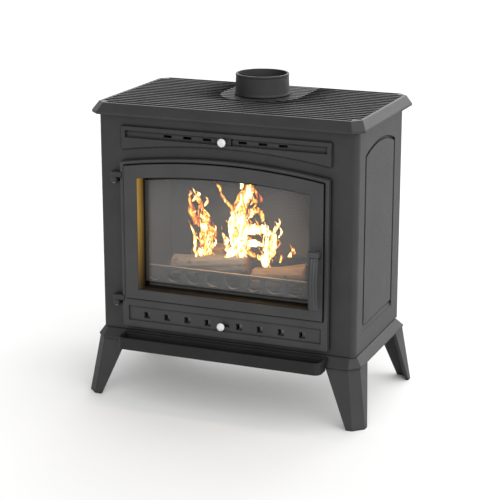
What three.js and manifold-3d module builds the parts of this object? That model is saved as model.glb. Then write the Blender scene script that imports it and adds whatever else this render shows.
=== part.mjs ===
// Cast-iron wood burning stove: a free-standing body on four splayed legs, with one
// front door that carries the window, the latch and the lower air slide.
// Millimetres, +Z up, the door looks along -Y. The origin is on the floor, under the
// middle of the whole stove.
import * as THREE from "three";
import { mergeVertices } from "three/addons/utils/BufferGeometryUtils.js";
import Module from "manifold-3d";

const wasm = await Module();
wasm.setup();

// ---------------------------------------------------------------- driving dimensions
const GAP = 0.3; // between pieces that touch
const SLIDE_GAP = 0.8; // around pieces that slide
const FIT = 0.35; // radial clearance of pins, bolts and spindle
const FRONT_WALL = 14; // the front plate carries the door and the slides
const WALL = 10; // the other cast body plates

const BODY_HALF_WIDTH = 370;
const BODY_FRONT = -187; // outer face of the front plate
const BODY_BACK = 194; // outer face of the back plate
const BODY_BOTTOM = 188;
const BODY_TOP = 796;
const CORNER_RADIUS = 14;

// Top plate, from its thin lower lip up a bevel to the ribbed field.
const LIP_OVERHANG = 18.5;
const LIP_OVERHANG_FRONT = 29;
const LIP_OVERHANG_BACK = 58;
const LIP_THICKNESS = 6;
const LIP_CORNER = 27; // chamfer across the corner
const PLATE_HEIGHT = 29; // lip underside to rib crests
const BEVEL_SIDE = 13.6; // how far the bevel runs in from the lip
const BEVEL_FRONT = 21;
const BEVEL_BACK = 15;
const PLATE_SKIN = 10; // casting left over the hollow underside
const RIB_COUNT = 17;
const RIB_WIDTH = 7;
const RIB_HEIGHT = 5;
const RIM_WIDTH = 8; // flat border round the ribbed field
const BOSS_RADIUS = 116; // flat pad round the flue collar

const COLLAR_Y = BODY_BACK - 111;
const COLLAR_HEIGHT = 59;
const COLLAR_RADIUS = 75; // at the foot; the spigot tapers upwards
const COLLAR_TOP_RADIUS = 73.4;
const COLLAR_WALL = 5;
const COLLAR_FLANGE = 1.5; // how far its foot stands out
const COLLAR_BEAD = 0.8; // and the bead at its rim

// Base plate: a bevel that mirrors the top plate's.
const FLARE_OUT = 17;
const FLARE_OUT_FRONT = 22;
const FLARE_OUT_BACK = 36;
const FLARE_HEIGHT = 27;
const FLARE_LIP = 4;
const FLARE_CORNER = 27;
const FLARE_RING = 66; // thick border that the legs bolt to

const FOOT_OUT = 24.5; // how far a foot splays beyond the top of its leg
const FOOT_OUT_BACK = 17;
const FOOT_FLANGE = 46; // width of a leg flange at the floor
const LEG_FLANGE = 90; // width of a leg flange at the base plate
const LEG_THICKNESS = 10;
const LEG_INSET = 3;
const LEG_PAD = 8;
const BOLT_INSET = 44; // base plate edge to leg bolt
const BOLT_RADIUS = 4;
const BOLT_HEAD = 7.5;
const BOLT_HEAD_HEIGHT = 6;

// The door, its window and the panel over it share one arch.
const ARCH_RADIUS = 1800;
const DOOR_SIDE_MARGIN = 71; // body's side to the door's edge
const DOOR_FOOT_MARGIN = 17;
const DOOR_HEAD_MARGIN = 103;
const DOOR_THICKNESS = 18;
const DOOR_SEAL_GAP = 2; // door back to body front
const FRAME_INSET = 13; // door edge to the raised window frame
const FRAME_PROUD = 6;
const FRAME_DEPTH = 16.7;
const FRAME_GROOVE = 2.5; // dark line between window frame and door
const WINDOW_SIDE = 38; // widths of the window frame
const WINDOW_FOOT = 27;
const WINDOW_HEAD = 37;
const SLEEVE_WALL = 8;
const SLEEVE_DEPTH = 44; // window frame face to glass
const GLASS_THICKNESS = 4;
const CLIP_THICKNESS = 3;
const ROPE_WIDTH = 9;
const ROPE_DEPTH = 6;
const ROPE_INSET = 10; // door edge to the door rope

const STRIP_INSET = 18; // door edge to the recessed air strip in its foot
const STRIP_HEIGHT = 42;
const STRIP_DEPTH = 4;
const AIR_HOLE = 17;
const AIR_HOLE_FIRST = 46;
const AIR_HOLE_END = 53.5; // last hole's centre to the end of the strip
const AIR_HOLE_COUNT = 4; // on each side of the knob
const AIR_HOLE_RISE = 17; // strip's foot to the hole centres
const LOWER_OPEN_TRAVEL = 13; // from the drawn position to fully open
const LOWER_SHUT_TRAVEL = 4; // from the drawn position to shut

const PANEL_MARGIN = 31; // body top to the raised panel over the door
const PANEL_RISE = 33; // door's arch to the panel's arch
const PANEL_PROUD = 8;
const CHANNEL_INSET = 12;
const CHANNEL_DROP = 21; // panel top to the middle of its channel
const CHANNEL_HEIGHT = 19;
const WASH_SLOT_LENGTH = 23.5;
const WASH_SLOT_HEIGHT = 6;
const WASH_SLOT_PITCH = 57;
const WASH_SLOT_FIRST = 51;
const WASH_SLOT_COUNT = 3; // on each side of the knob
const UPPER_TRAVEL = 12; // each way from half open
const SHUTTER_THICKNESS = 3;
const SHUTTER_MARGIN = 7; // shutter edge beyond its holes
const TAB_HALF_WIDTH = 20;
const KNOB_RADIUS = 11;
const KNOB_THICKNESS = 9; // neck and disc together
const KNOB_NECK = 4;
const KNOB_STEM_RADIUS = 3.5;
const UPPER_STEM_REACH = 9; // bare stem between the upper tab and its knob

const HINGE_OFFSET = 21; // door edge to hinge axis
const HINGE_INSET = 70; // door foot and arch to the hinges
const HINGE_Y = BODY_FRONT - 13;
const KNUCKLE_RADIUS = 10;
const KNUCKLE_HEIGHT = 14.5;
const ARM_BITE = 4; // how far the arm reaches into the door's edge
const PIN_RADIUS = 4;

const SPINDLE_INSET = 31; // door edge to spindle
const GRIP_INSET = 25; // door edge to the middle of the grip
const HANDLE_RISE = 261; // door foot to the spindle
const HANDLE_HEAD = 20; // grip's reach above the spindle
const HANDLE_DROP = 143; // and below it
const HANDLE_WIDTH = 26;
const HANDLE_THICKNESS = 13;
const HANDLE_STANDOFF = 26; // window frame to grip, at the ends
const HANDLE_BOW = 15;
const SPINDLE_RADIUS = 5;
const CAM_LENGTH = 24;
const CAM_WIDTH = 12;
const CAM_THICKNESS = 8;
const CAM_CLEARANCE = 2.5; // tongue to keeper

const OPENING_INSET = 35; // door edge to the doorway in the front plate
const OPENING_SILL = 13; // door foot to the doorway's foot
const OPENING_HEAD = 33;

const GROOVE_WIDTH = 9; // frame line on the side panels
const GROOVE_DEPTH = 7;
const SIDE_FIELD_MARGIN = 61.5; // panel edges to the frame line
const SIDE_FIELD_FOOT = 64;
const SIDE_FIELD_HEAD = 49;
const SIDE_ARCH_RISE = 25;
const SILL_HEIGHT = 13;

const TRAY_INSET = 2; // door edge to the end of the ash lip
const TRAY_REACH = 70; // body front to the lip's front
const TRAY_DROP = 3; // body foot to the lip's rim
const TRAY_HEIGHT = 33;
const TRAY_WALL = 6;
const TRAY_CORNER = 20;

const PAN_HALF_WIDTH = 170;
const PAN_HEIGHT = 34;
const PAN_SHEET = 3;
const PAN_CLEARANCE = 4; // pan rim to hearth plate
const SHELF_CLEARANCE = 6; // each side of the ash pan
const SHELF_DECK = 6;
const HEARTH_THICKNESS = 10;
const LINER_THICKNESS = 25;
const LINER_MARGIN = 40; // side panel's face to the liner's outer face
const LINER_HEAD = 106; // body top to liner top
const LINER_FRONT = BODY_FRONT + 37;
const LINER_BACK = BODY_BACK - 35;
const BAFFLE_THICKNESS = 20;
const BAFFLE_SETBACK = 80;
const GUARD_SETBACK = 15;
const GUARD_THICKNESS = 9;
const GUARD_RISE = 51; // window's foot to the guard's top
const GUARD_BAR = 9;
const GUARD_PITCH = 59;
const GUARD_HOLES = 9;
const GUARD_HOLE_RADIUS = 22;
const GRATE_HALF_WIDTH = 140;
const GRATE_THICKNESS = 5;
const GRATE_SEAT = 8;
const GRATE_SLOTS = 12;
const GRATE_BAR = 8;

// ---------------------------------------------------------------- places that follow
const lipHalfWidth = BODY_HALF_WIDTH + LIP_OVERHANG;
const lipFront = BODY_FRONT - LIP_OVERHANG_FRONT;
const lipBack = BODY_BACK + LIP_OVERHANG_BACK;
const plateTop = BODY_TOP + GAP + PLATE_HEIGHT;
const ridgeHalfWidth = lipHalfWidth - BEVEL_SIDE;
const ridgeFront = lipFront + BEVEL_FRONT;
const ridgeBack = lipBack - BEVEL_BACK;

const frontBack = BODY_FRONT + FRONT_WALL; // rear face of the front plate
const doorHalfWidth = BODY_HALF_WIDTH - DOOR_SIDE_MARGIN;
const doorBottom = BODY_BOTTOM + DOOR_FOOT_MARGIN;
const doorApex = BODY_TOP - DOOR_HEAD_MARGIN;
const doorBack = BODY_FRONT - DOOR_SEAL_GAP;
const doorFront = doorBack - DOOR_THICKNESS;
const frameHalfWidth = doorHalfWidth - FRAME_INSET;
const frameBottom = doorBottom + 83;
const frameApex = doorApex - 11;
const frameFront = doorFront - FRAME_PROUD;
const frameBack = frameFront + FRAME_DEPTH;
const glassFront = frameFront + SLEEVE_DEPTH;
const clipFront = glassFront + GLASS_THICKNESS + GAP;
const windowHalfWidth = frameHalfWidth - WINDOW_SIDE;
const windowBottom = frameBottom + WINDOW_FOOT;
const windowApex = frameApex - WINDOW_HEAD;

const stripHalfWidth = doorHalfWidth - STRIP_INSET;
const stripBottom = doorBottom + STRIP_INSET;
const stripFloor = doorFront + STRIP_DEPTH;
const airHoleZ = stripBottom + AIR_HOLE_RISE;
const airHolePitch = (stripHalfWidth - AIR_HOLE_END - AIR_HOLE_FIRST) / (AIR_HOLE_COUNT - 1);
const airHoles = row(AIR_HOLE_FIRST, airHolePitch, AIR_HOLE_COUNT);

const panelHalfWidth = doorHalfWidth + 1;
const panelTop = BODY_TOP - PANEL_MARGIN;
const panelApex = doorApex + PANEL_RISE;
const panelFront = BODY_FRONT - PANEL_PROUD;
const channelZ = panelTop - CHANNEL_DROP;
const washSlots = row(WASH_SLOT_FIRST, WASH_SLOT_PITCH, WASH_SLOT_COUNT);
const tabFront = panelFront + 1.5;
const upperShutterFront = frontBack + SLIDE_GAP;
const lowerShutterFront = doorBack + SLIDE_GAP;

const hingeX = -doorHalfWidth - HINGE_OFFSET;
const hingeHeights = [doorBottom + HINGE_INSET + 2, doorApex - HINGE_INSET + 2]; // joint planes
const spindleX = doorHalfWidth - SPINDLE_INSET;
const handlePivotZ = doorBottom + HANDLE_RISE;
const handleTop = handlePivotZ + HANDLE_HEAD;
const handleBottom = handlePivotZ - HANDLE_DROP;
const gripX = doorHalfWidth - GRIP_INSET;
const gripBack = frameFront - HANDLE_STANDOFF;
const camFront = clipFront + CLIP_THICKNESS + 1.5;

const openingHalfWidth = doorHalfWidth - OPENING_INSET;
const openingBottom = doorBottom + OPENING_SILL;
const openingApex = doorApex - OPENING_HEAD;

const flareHalfWidth = BODY_HALF_WIDTH + FLARE_OUT;
const flareFront = BODY_FRONT - FLARE_OUT_FRONT;
const flareBack = BODY_BACK + FLARE_OUT_BACK;
const flareBottom = BODY_BOTTOM - FLARE_HEIGHT;
const legTop = flareBottom - GAP;
const boltSpots = [flareFront + BOLT_INSET, flareBack - BOLT_INSET].flatMap(
  (y) => [-1, 1].map((side) => [side * (flareHalfWidth - BOLT_INSET), y]),
);

const hearthBottom = openingBottom + PAN_HEIGHT + PAN_CLEARANCE;
const hearthTop = hearthBottom + HEARTH_THICKNESS;
const linerHalfWidth = BODY_HALF_WIDTH - LINER_MARGIN;
const linerInner = linerHalfWidth - LINER_THICKNESS;
const linerTop = BODY_TOP - LINER_HEAD;
const panFront = LINER_FRONT - 8;
const panBack = LINER_BACK - 55;
const grateFront = LINER_FRONT + 80;
const grateBack = LINER_BACK - 75;
const guardFront = LINER_FRONT + GUARD_SETBACK;
const guardTop = windowBottom + GUARD_RISE;

// The origin lies under the middle of the overall depth, from the grip to the top plate.
const gripFront = gripBack - HANDLE_BOW - HANDLE_THICKNESS;
const centreShift = -(gripFront + lipBack) / 2;

// ---------------------------------------------------------------- materials
const iron = { color: 0x3b3c3e, roughness: 0.62, metalness: 0.35 };
const steel = { color: 0x8e9093, roughness: 0.35, metalness: 0.9 };
const silver = { color: 0xd8d8d4, roughness: 0.28, metalness: 0.9 };
const glassLook = { color: 0x9fa3a6, roughness: 0.05, metalness: 0, transparent: true, opacity: 0.35 };
const rope = { color: 0x2c2b2a, roughness: 0.95, metalness: 0 };
const firebrick = { color: 0x9a8a72, roughness: 0.9, metalness: 0 };

// ---------------------------------------------------------------- solids
function solid(geometry) {
  geometry.deleteAttribute("normal");
  geometry.deleteAttribute("uv");
  const welded = mergeVertices(geometry, 1e-4);
  return new wasm.Manifold(
    new wasm.Mesh({
      numProp: 3,
      vertProperties: new Float32Array(welded.attributes.position.array),
      triVerts: new Uint32Array(welded.index.array),
    }),
  );
}

function geometryOf(manifold) {
  const mesh = manifold.getMesh();
  const geometry = new THREE.BufferGeometry();
  geometry.setAttribute("position", new THREE.BufferAttribute(mesh.vertProperties, 3));
  geometry.setIndex(new THREE.BufferAttribute(mesh.triVerts, 1));
  geometry.computeVertexNormals();
  return geometry;
}

// A block between two values on each axis.
function block(x0, x1, y0, y1, z0, z1) {
  const geometry = new THREE.BoxGeometry(x1 - x0, y1 - y0, z1 - z0);
  geometry.translate((x0 + x1) / 2, (y0 + y1) / 2, (z0 + z1) / 2);
  return solid(geometry);
}

function extrude(shape, depth, segments = 12) {
  return new THREE.ExtrudeGeometry(shape, { depth, bevelEnabled: false, curveSegments: segments });
}

// An outline drawn in X and Y, standing between two heights.
function prismZ(shape, z0, z1, segments) {
  const geometry = extrude(shape, z1 - z0, segments);
  geometry.translate(0, 0, z0);
  return solid(geometry);
}

// An outline drawn in X and Z, running from y0 back to y1.
function prismY(shape, y0, y1, segments) {
  const geometry = extrude(shape, y1 - y0, segments);
  geometry.rotateX(Math.PI / 2);
  geometry.translate(0, y1, 0);
  return solid(geometry);
}

// An outline drawn in Y and Z, running from x0 to x1.
function prismX(shape, x0, x1, segments) {
  const geometry = extrude(shape, x1 - x0, segments);
  const [x, y, z] = [new THREE.Vector3(1, 0, 0), new THREE.Vector3(0, 1, 0), new THREE.Vector3(0, 0, 1)];
  geometry.applyMatrix4(new THREE.Matrix4().makeBasis(y, z, x));
  geometry.translate(x0, 0, 0);
  return solid(geometry);
}

// A round bar along one axis, from a point with the given length.
function bar(radius, length, axis, x, y, z, sides = 24) {
  const geometry = new THREE.CylinderGeometry(radius, radius, length, sides);
  geometry.translate(0, length / 2, 0);
  if (axis === "x") geometry.rotateZ(-Math.PI / 2);
  if (axis === "z") geometry.rotateX(Math.PI / 2);
  geometry.translate(x, y, z);
  return solid(geometry);
}

function outline(points) {
  return new THREE.Shape(points.map(([x, y]) => new THREE.Vector2(x, y)));
}

function rectangle(x0, x1, y0, y1) {
  return outline([[x0, y0], [x1, y0], [x1, y1], [x0, y1]]);
}

// A rectangle whose four corners are cut off.
function chamferedRectangle(halfWidth, y0, y1, corner) {
  const [w, c] = [halfWidth, corner];
  return [
    [-w + c, y0], [w - c, y0], [w, y0 + c], [w, y1 - c],
    [w - c, y1], [-w + c, y1], [-w, y1 - c], [-w, y0 + c],
  ];
}

// A flat-footed outline whose top is an arc through its highest point.
function arched(halfWidth, bottom, apex, radius = ARCH_RADIUS) {
  const reach = Math.asin(halfWidth / radius);
  const shape = new THREE.Shape();
  shape.moveTo(-halfWidth, bottom);
  shape.lineTo(halfWidth, bottom);
  shape.absarc(0, apex - radius, radius, Math.PI / 2 - reach, Math.PI / 2 + reach, false);
  shape.closePath();
  return shape;
}

// Two outlines with the same number of corners, joined by flat walls.
function loft(lower, upper, z0, z1) {
  const geometry = extrude(outline(upper), z1 - z0);
  const position = geometry.attributes.position;
  for (let i = 0; i < position.count; i += 1) {
    const atBottom = position.getZ(i) < (z1 - z0) / 2;
    const corner = upper.findIndex(
      ([x, y]) => Math.hypot(x - position.getX(i), y - position.getY(i)) < 1e-3,
    );
    const [x, y] = (atBottom ? lower : upper)[corner];
    position.setXYZ(i, x, y, atBottom ? z0 : z1);
  }
  return solid(geometry);
}

function union(parts) {
  return parts.reduce((sum, part) => sum.add(part));
}

function without(base, cuts) {
  return cuts.reduce((rest, cut) => rest.subtract(cut), base);
}

// Centres of a row of holes laid out evenly on both sides of the middle.
function row(first, pitch, countPerSide) {
  const right = Array.from({ length: countPerSide }, (_, i) => first + pitch * i);
  return [...right.map((x) => -x).reverse(), ...right];
}

const stove = new THREE.Group();
const model = new THREE.Group();
model.position.y = centreShift;
stove.add(model);

function addPiece(name, manifold, look) {
  const mesh = new THREE.Mesh(geometryOf(manifold), new THREE.MeshStandardMaterial(look));
  mesh.name = name;
  model.add(mesh);
}

// ---------------------------------------------------------------- top plate and collar
function topPlate() {
  const lipOutline = chamferedRectangle(lipHalfWidth, lipFront, lipBack, LIP_CORNER);
  const ridgeOutline = chamferedRectangle(ridgeHalfWidth, ridgeFront, ridgeBack, LIP_CORNER - 3);
  const lipTop = BODY_TOP + GAP + LIP_THICKNESS;
  const lip = prismZ(outline(lipOutline), BODY_TOP + GAP, lipTop);
  const bevel = loft(lipOutline, ridgeOutline, lipTop, plateTop);

  const hollow = block(
    -BODY_HALF_WIDTH + WALL + 4, BODY_HALF_WIDTH - WALL - 4,
    BODY_FRONT + FRONT_WALL + 4, BODY_BACK - WALL - 4,
    BODY_TOP - 1, plateTop - PLATE_SKIN,
  );
  const flueHole = bar(COLLAR_RADIUS - COLLAR_WALL - 3, PLATE_HEIGHT + 20, "z", 0, COLLAR_Y, BODY_TOP - 5, 48);

  // The field sinks between the ribs; the pad round the collar stays at full height.
  const fieldHalf = ridgeHalfWidth - RIM_WIDTH;
  const pitch = (ridgeBack - ridgeFront - RIM_WIDTH * 2 + RIB_WIDTH) / (RIB_COUNT + 1);
  const furrows = [];
  for (let i = 0; i <= RIB_COUNT; i += 1) {
    const start = ridgeFront + RIM_WIDTH + pitch * i;
    const edge = LIP_CORNER - 8;
    const ends = i === 0 || i === RIB_COUNT ? fieldHalf - edge : fieldHalf;
    furrows.push(block(-ends, ends, start, start + pitch - RIB_WIDTH, plateTop - RIB_HEIGHT, plateTop + 1));
  }
  const pad = union([
    bar(BOSS_RADIUS, PLATE_HEIGHT, "z", 0, COLLAR_Y, BODY_TOP, 48),
    block(-BOSS_RADIUS, BOSS_RADIUS, COLLAR_Y, lipBack, BODY_TOP, BODY_TOP + PLATE_HEIGHT),
  ]);
  return without(lip.add(bevel), [hollow, flueHole, union(furrows).subtract(pad)]);
}

function flueCollar() {
  const foot = plateTop + GAP;
  const top = foot + COLLAR_HEIGHT;
  const inner = COLLAR_TOP_RADIUS - COLLAR_WALL;
  const flange = COLLAR_RADIUS + COLLAR_FLANGE;
  const profile = [
    [COLLAR_RADIUS - COLLAR_WALL, foot], [flange, foot], [flange, foot + 3],
    [COLLAR_RADIUS, foot + 7], [COLLAR_TOP_RADIUS, top - 6], [COLLAR_TOP_RADIUS + COLLAR_BEAD, top - 4],
    [COLLAR_TOP_RADIUS + COLLAR_BEAD, top - 1], [COLLAR_TOP_RADIUS, top], [inner, top],
  ];
  const points = [...profile, profile[0]].map(([r, z]) => new THREE.Vector2(r, z));
  const geometry = new THREE.LatheGeometry(points, 48);
  geometry.rotateX(Math.PI / 2);
  geometry.translate(0, COLLAR_Y, 0);
  return solid(geometry);
}

// ---------------------------------------------------------------- body plates
// A plate with its two outer front corners rounded.
function frontPlateOutline() {
  const [w, r] = [BODY_HALF_WIDTH, CORNER_RADIUS];
  const shape = new THREE.Shape();
  shape.moveTo(-w + r, BODY_FRONT);
  shape.lineTo(w - r, BODY_FRONT);
  shape.absarc(w - r, BODY_FRONT + r, r, -Math.PI / 2, 0, false);
  shape.lineTo(w, frontBack);
  shape.lineTo(-w, frontBack);
  shape.lineTo(-w, BODY_FRONT + r);
  shape.absarc(-w + r, BODY_FRONT + r, r, Math.PI, Math.PI * 1.5, false);
  return shape;
}

function shutterRails(halfLength, holeZ, holeHeight, faceY) {
  const half = holeHeight / 2 + SHUTTER_MARGIN + SLIDE_GAP;
  const back = faceY + SHUTTER_THICKNESS + SLIDE_GAP * 2;
  return [-1, 1].flatMap((side) => {
    const inner = holeZ + side * half;
    const outer = inner + side * 4;
    const hook = inner - side * 3;
    const [z0, z1] = [Math.min(inner, outer), Math.max(inner, outer)];
    const [h0, h1] = [Math.min(hook, outer), Math.max(hook, outer)];
    return [
      block(-halfLength, halfLength, faceY - 1, back + 2, z0, z1),
      block(-halfLength, halfLength, back, back + 2, h0, h1),
    ];
  });
}

function frontPlate() {
  const plate = prismZ(frontPlateOutline(), BODY_BOTTOM + GAP, BODY_TOP, 6);
  const panelFace = rectangle(-panelHalfWidth, panelHalfWidth, panelApex - 60, panelTop);
  const underArch = arched(panelHalfWidth + 20, doorBottom, panelApex);
  const panel = prismY(panelFace, panelFront, BODY_FRONT + 1).subtract(
    prismY(underArch, panelFront - 1, BODY_FRONT, 24),
  );
  const channelHalf = panelHalfWidth - CHANNEL_INSET;
  const channel = block(
    -channelHalf, channelHalf, panelFront - 1, BODY_FRONT,
    channelZ - CHANNEL_HEIGHT / 2, channelZ + CHANNEL_HEIGHT / 2,
  );
  const slots = washSlots.map((x) => block(
    x - WASH_SLOT_LENGTH / 2, x + WASH_SLOT_LENGTH / 2, BODY_FRONT - 1, frontBack + 1,
    channelZ - WASH_SLOT_HEIGHT / 2, channelZ + WASH_SLOT_HEIGHT / 2,
  ));
  const stemReach = UPPER_TRAVEL + KNOB_STEM_RADIUS + SLIDE_GAP;
  const stemWidth = KNOB_STEM_RADIUS + SLIDE_GAP;
  const stemSlot = block(
    -stemReach, stemReach, BODY_FRONT - 1, frontBack + 1, channelZ - stemWidth, channelZ + stemWidth,
  );
  const doorway = prismY(
    arched(openingHalfWidth, openingBottom, openingApex), BODY_FRONT - 1, frontBack + 1, 24,
  );
  const spindleNotch = block(
    openingHalfWidth - 2, doorHalfWidth - ROPE_INSET - ROPE_WIDTH - GAP, BODY_FRONT - 1, frontBack + 1,
    handlePivotZ - CAM_LENGTH - 4, handlePivotZ + CAM_LENGTH,
  );
  const rails = shutterRails(washSlots.at(-1) + WASH_SLOT_LENGTH, channelZ, WASH_SLOT_HEIGHT, frontBack);
  return without(union([plate, panel, ...rails]), [channel, ...slots, stemSlot, doorway, spindleNotch]);
}

const sideMiddle = (BODY_FRONT + BODY_BACK) / 2;
const sideFieldHalf = (BODY_BACK - BODY_FRONT) / 2 - SIDE_FIELD_MARGIN;
const sideFieldBottom = BODY_BOTTOM + SIDE_FIELD_FOOT;

// The frame line cut into a side panel: a groove all round an arched field.
function sideGroove(x0, x1) {
  const band = (inset) => {
    const half = sideFieldHalf - inset;
    const rise = SIDE_ARCH_RISE * (half / sideFieldHalf) ** 2;
    const radius = (half * half + rise * rise) / (2 * rise);
    return arched(half, sideFieldBottom + inset, BODY_TOP - SIDE_FIELD_HEAD - inset, radius);
  };
  const ring = prismX(band(0), x0, x1, 20).subtract(prismX(band(GROOVE_WIDTH), x0 - 1, x1 + 1, 20));
  return ring.translate([0, sideMiddle, 0]);
}

function sidePanel(side) {
  const outer = BODY_HALF_WIDTH;
  const inner = outer - WALL;
  const plate = block(inner, outer, frontBack + GAP, BODY_BACK, BODY_BOTTOM + GAP, BODY_TOP);
  const groove = sideGroove(outer - GROOVE_DEPTH, outer + 2);
  // A sloping sill leads out of the foot of the groove.
  const [floorX, sillFoot] = [outer - GROOVE_DEPTH + 1, sideFieldBottom - SILL_HEIGHT];
  const sill = prismY(
    outline([
      [outer + 2, sideFieldBottom + 2], [floorX, sideFieldBottom + 2], [floorX, sideFieldBottom],
      [outer, sillFoot], [outer + 2, sillFoot],
    ]),
    sideMiddle - sideFieldHalf - 1, sideMiddle + sideFieldHalf + 1,
  );
  const panel = plate.subtract(groove.add(sill));
  return side > 0 ? panel : panel.mirror([1, 0, 0]);
}

function backPanel() {
  const half = BODY_HALF_WIDTH - WALL - GAP;
  return block(-half, half, BODY_BACK - WALL, BODY_BACK, BODY_BOTTOM + GAP, BODY_TOP);
}

// ---------------------------------------------------------------- base, legs, ash lip
function basePlate() {
  const topOutline = chamferedRectangle(BODY_HALF_WIDTH + 1.5, BODY_FRONT - 1.5, BODY_BACK + 1.5, 15);
  const lipOutline = chamferedRectangle(flareHalfWidth, flareFront, flareBack, FLARE_CORNER);
  const slope = loft(lipOutline, topOutline, flareBottom + FLARE_LIP, BODY_BOTTOM);
  const lip = prismZ(outline(lipOutline), flareBottom, flareBottom + FLARE_LIP);
  const hollow = block(
    -flareHalfWidth + FLARE_RING, flareHalfWidth - FLARE_RING,
    flareFront + FLARE_RING, flareBack - FLARE_RING,
    flareBottom - 1, BODY_BOTTOM - WALL,
  );
  const boltHoles = boltSpots.map(([x, y]) => bar(BOLT_RADIUS + FIT, 14, "z", x, y, flareBottom - 1));
  return without(lip.add(slope), [hollow, ...boltHoles]);
}

// An angle section with a cut outer corner, drawn for the front right leg.
function angleSection(x, y, flange, corner) {
  const t = LEG_THICKNESS;
  return [
    [x - flange, y], [x - corner, y], [x, y + corner], [x, y + flange],
    [x - t, y + flange], [x - t, y + corner + t / 2], [x - corner - t / 2, y + t], [x - flange, y + t],
  ];
}

function leg(sideX, sideY) {
  const x = flareHalfWidth - LEG_INSET;
  const depth = sideY < 0 ? -flareFront - LEG_INSET : flareBack - LEG_INSET;
  const splay = sideY < 0 ? FOOT_OUT : FOOT_OUT_BACK;
  const upper = angleSection(x, -depth, LEG_FLANGE, FLARE_CORNER - 2);
  const lower = angleSection(x + FOOT_OUT, -depth - splay, FOOT_FLANGE, FLARE_CORNER);
  const shell = loft(lower, upper, 0, legTop);
  const seat = outline([
    [x - LEG_FLANGE + 8, -depth + 4], [x - FLARE_CORNER, -depth + 4], [x - 4, -depth + FLARE_CORNER],
    [x - 4, -depth + LEG_FLANGE - 8],
  ]);
  const pad = prismZ(seat, legTop - LEG_PAD, legTop);
  const boltX = flareHalfWidth - BOLT_INSET;
  const boltY = -depth - LEG_INSET + BOLT_INSET;
  const hole = bar(BOLT_RADIUS + FIT, 20, "z", boltX, boltY, legTop - 14);
  let piece = shell.add(pad).subtract(hole);
  if (sideX < 0) piece = piece.mirror([1, 0, 0]);
  if (sideY > 0) piece = piece.mirror([0, 1, 0]);
  return piece;
}

function legBolt(x, y) {
  const headBottom = legTop - LEG_PAD - GAP - BOLT_HEAD_HEIGHT;
  const head = bar(BOLT_HEAD, BOLT_HEAD_HEIGHT, "z", x, y, headBottom, 6);
  return head.add(bar(BOLT_RADIUS, 26, "z", x, y, headBottom + 1));
}

function ashLip() {
  const w = doorHalfWidth - TRAY_INSET;
  const rim = BODY_BOTTOM - TRAY_DROP;
  const foot = rim - TRAY_HEIGHT;
  const tray = (inset, z0, z1) => {
    const [half, front, r] = [w - inset, BODY_FRONT - TRAY_REACH + inset, TRAY_CORNER - inset / 2];
    const shape = new THREE.Shape();
    shape.moveTo(-half + r, front);
    shape.lineTo(half - r, front);
    shape.absarc(half - r, front + r, r, -Math.PI / 2, 0, false);
    shape.lineTo(half, BODY_FRONT - GAP * 3 - inset * 3.2);
    shape.lineTo(-half, BODY_FRONT - GAP * 3 - inset * 3.2);
    shape.absarc(-half + r, front + r, r, Math.PI, Math.PI * 1.5, false);
    return prismZ(shape, z0, z1, 6);
  };
  const flare = outline([
    [BODY_FRONT - 1.5 - GAP, BODY_BOTTOM + 1], [BODY_FRONT - 1.5 - GAP, BODY_BOTTOM],
    [flareFront - GAP, flareBottom + FLARE_LIP], [flareFront - GAP, foot - 1],
    [BODY_FRONT + 40, foot - 1], [BODY_FRONT + 40, BODY_BOTTOM + 1],
  ]);
  return without(tray(0, foot, rim), [
    tray(TRAY_WALL, foot + TRAY_WALL, rim + 1),
    prismX(flare, -w - 1, w + 1),
  ]);
}

// ---------------------------------------------------------------- inside of the body
// A deck for the ash pan between two walls that carry the hearth plate.
function ashShelf() {
  const inner = PAN_HALF_WIDTH + SHELF_CLEARANCE;
  const outer = inner + WALL;
  const [y0, y1] = [frontBack + 3, LINER_BACK];
  const deck = block(-outer, outer, y0, y1, openingBottom - GAP - SHELF_DECK, openingBottom - GAP);
  const walls = [-1, 1].map((side) => {
    const [x0, x1] = side > 0 ? [inner, outer] : [-outer, -inner];
    return block(x0, x1, y0, y1, BODY_BOTTOM + GAP, hearthBottom - GAP);
  });
  return union([deck, ...walls]);
}

function ashPan() {
  const [w, wall, z0] = [PAN_HALF_WIDTH, PAN_SHEET, openingBottom];
  const shell = block(-w, w, panFront, panBack, z0, z0 + PAN_HEIGHT);
  const inside = block(-w + wall, w - wall, panFront + wall, panBack - wall, z0 + wall, z0 + PAN_HEIGHT + 1);
  const tongue = block(-30, 30, panFront - 12, panFront + 1, z0 + PAN_HEIGHT - 6, z0 + PAN_HEIGHT);
  return shell.subtract(inside).add(tongue);
}

function hearthPlate() {
  const half = BODY_HALF_WIDTH - WALL - GAP;
  const plate = block(-half, half, LINER_FRONT, BODY_BACK - WALL - GAP, hearthBottom, hearthTop);
  const seat = GRATE_SEAT;
  const mouth = block(-GRATE_HALF_WIDTH + seat, GRATE_HALF_WIDTH - seat,
    grateFront + seat, grateBack - seat, hearthBottom - 1, hearthTop + 1);
  const rebate = block(-GRATE_HALF_WIDTH, GRATE_HALF_WIDTH, grateFront, grateBack,
    hearthTop - GRATE_THICKNESS, hearthTop + 1);
  return without(plate, [mouth, rebate]);
}

function fireGrate() {
  const [w, edge] = [GRATE_HALF_WIDTH - 1, 12];
  const plate = block(-w, w, grateFront + 1, grateBack - 1, hearthTop - GRATE_THICKNESS + GAP, hearthTop);
  const pitch = (w * 2 - edge * 2 + GRATE_BAR) / GRATE_SLOTS;
  const slots = Array.from({ length: GRATE_SLOTS }, (_, i) => {
    const x = -w + edge + pitch * i;
    return block(x, x + pitch - GRATE_BAR, grateFront + edge, grateBack - edge, hearthTop - 6, hearthTop + 1);
  });
  return without(plate, slots);
}

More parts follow.
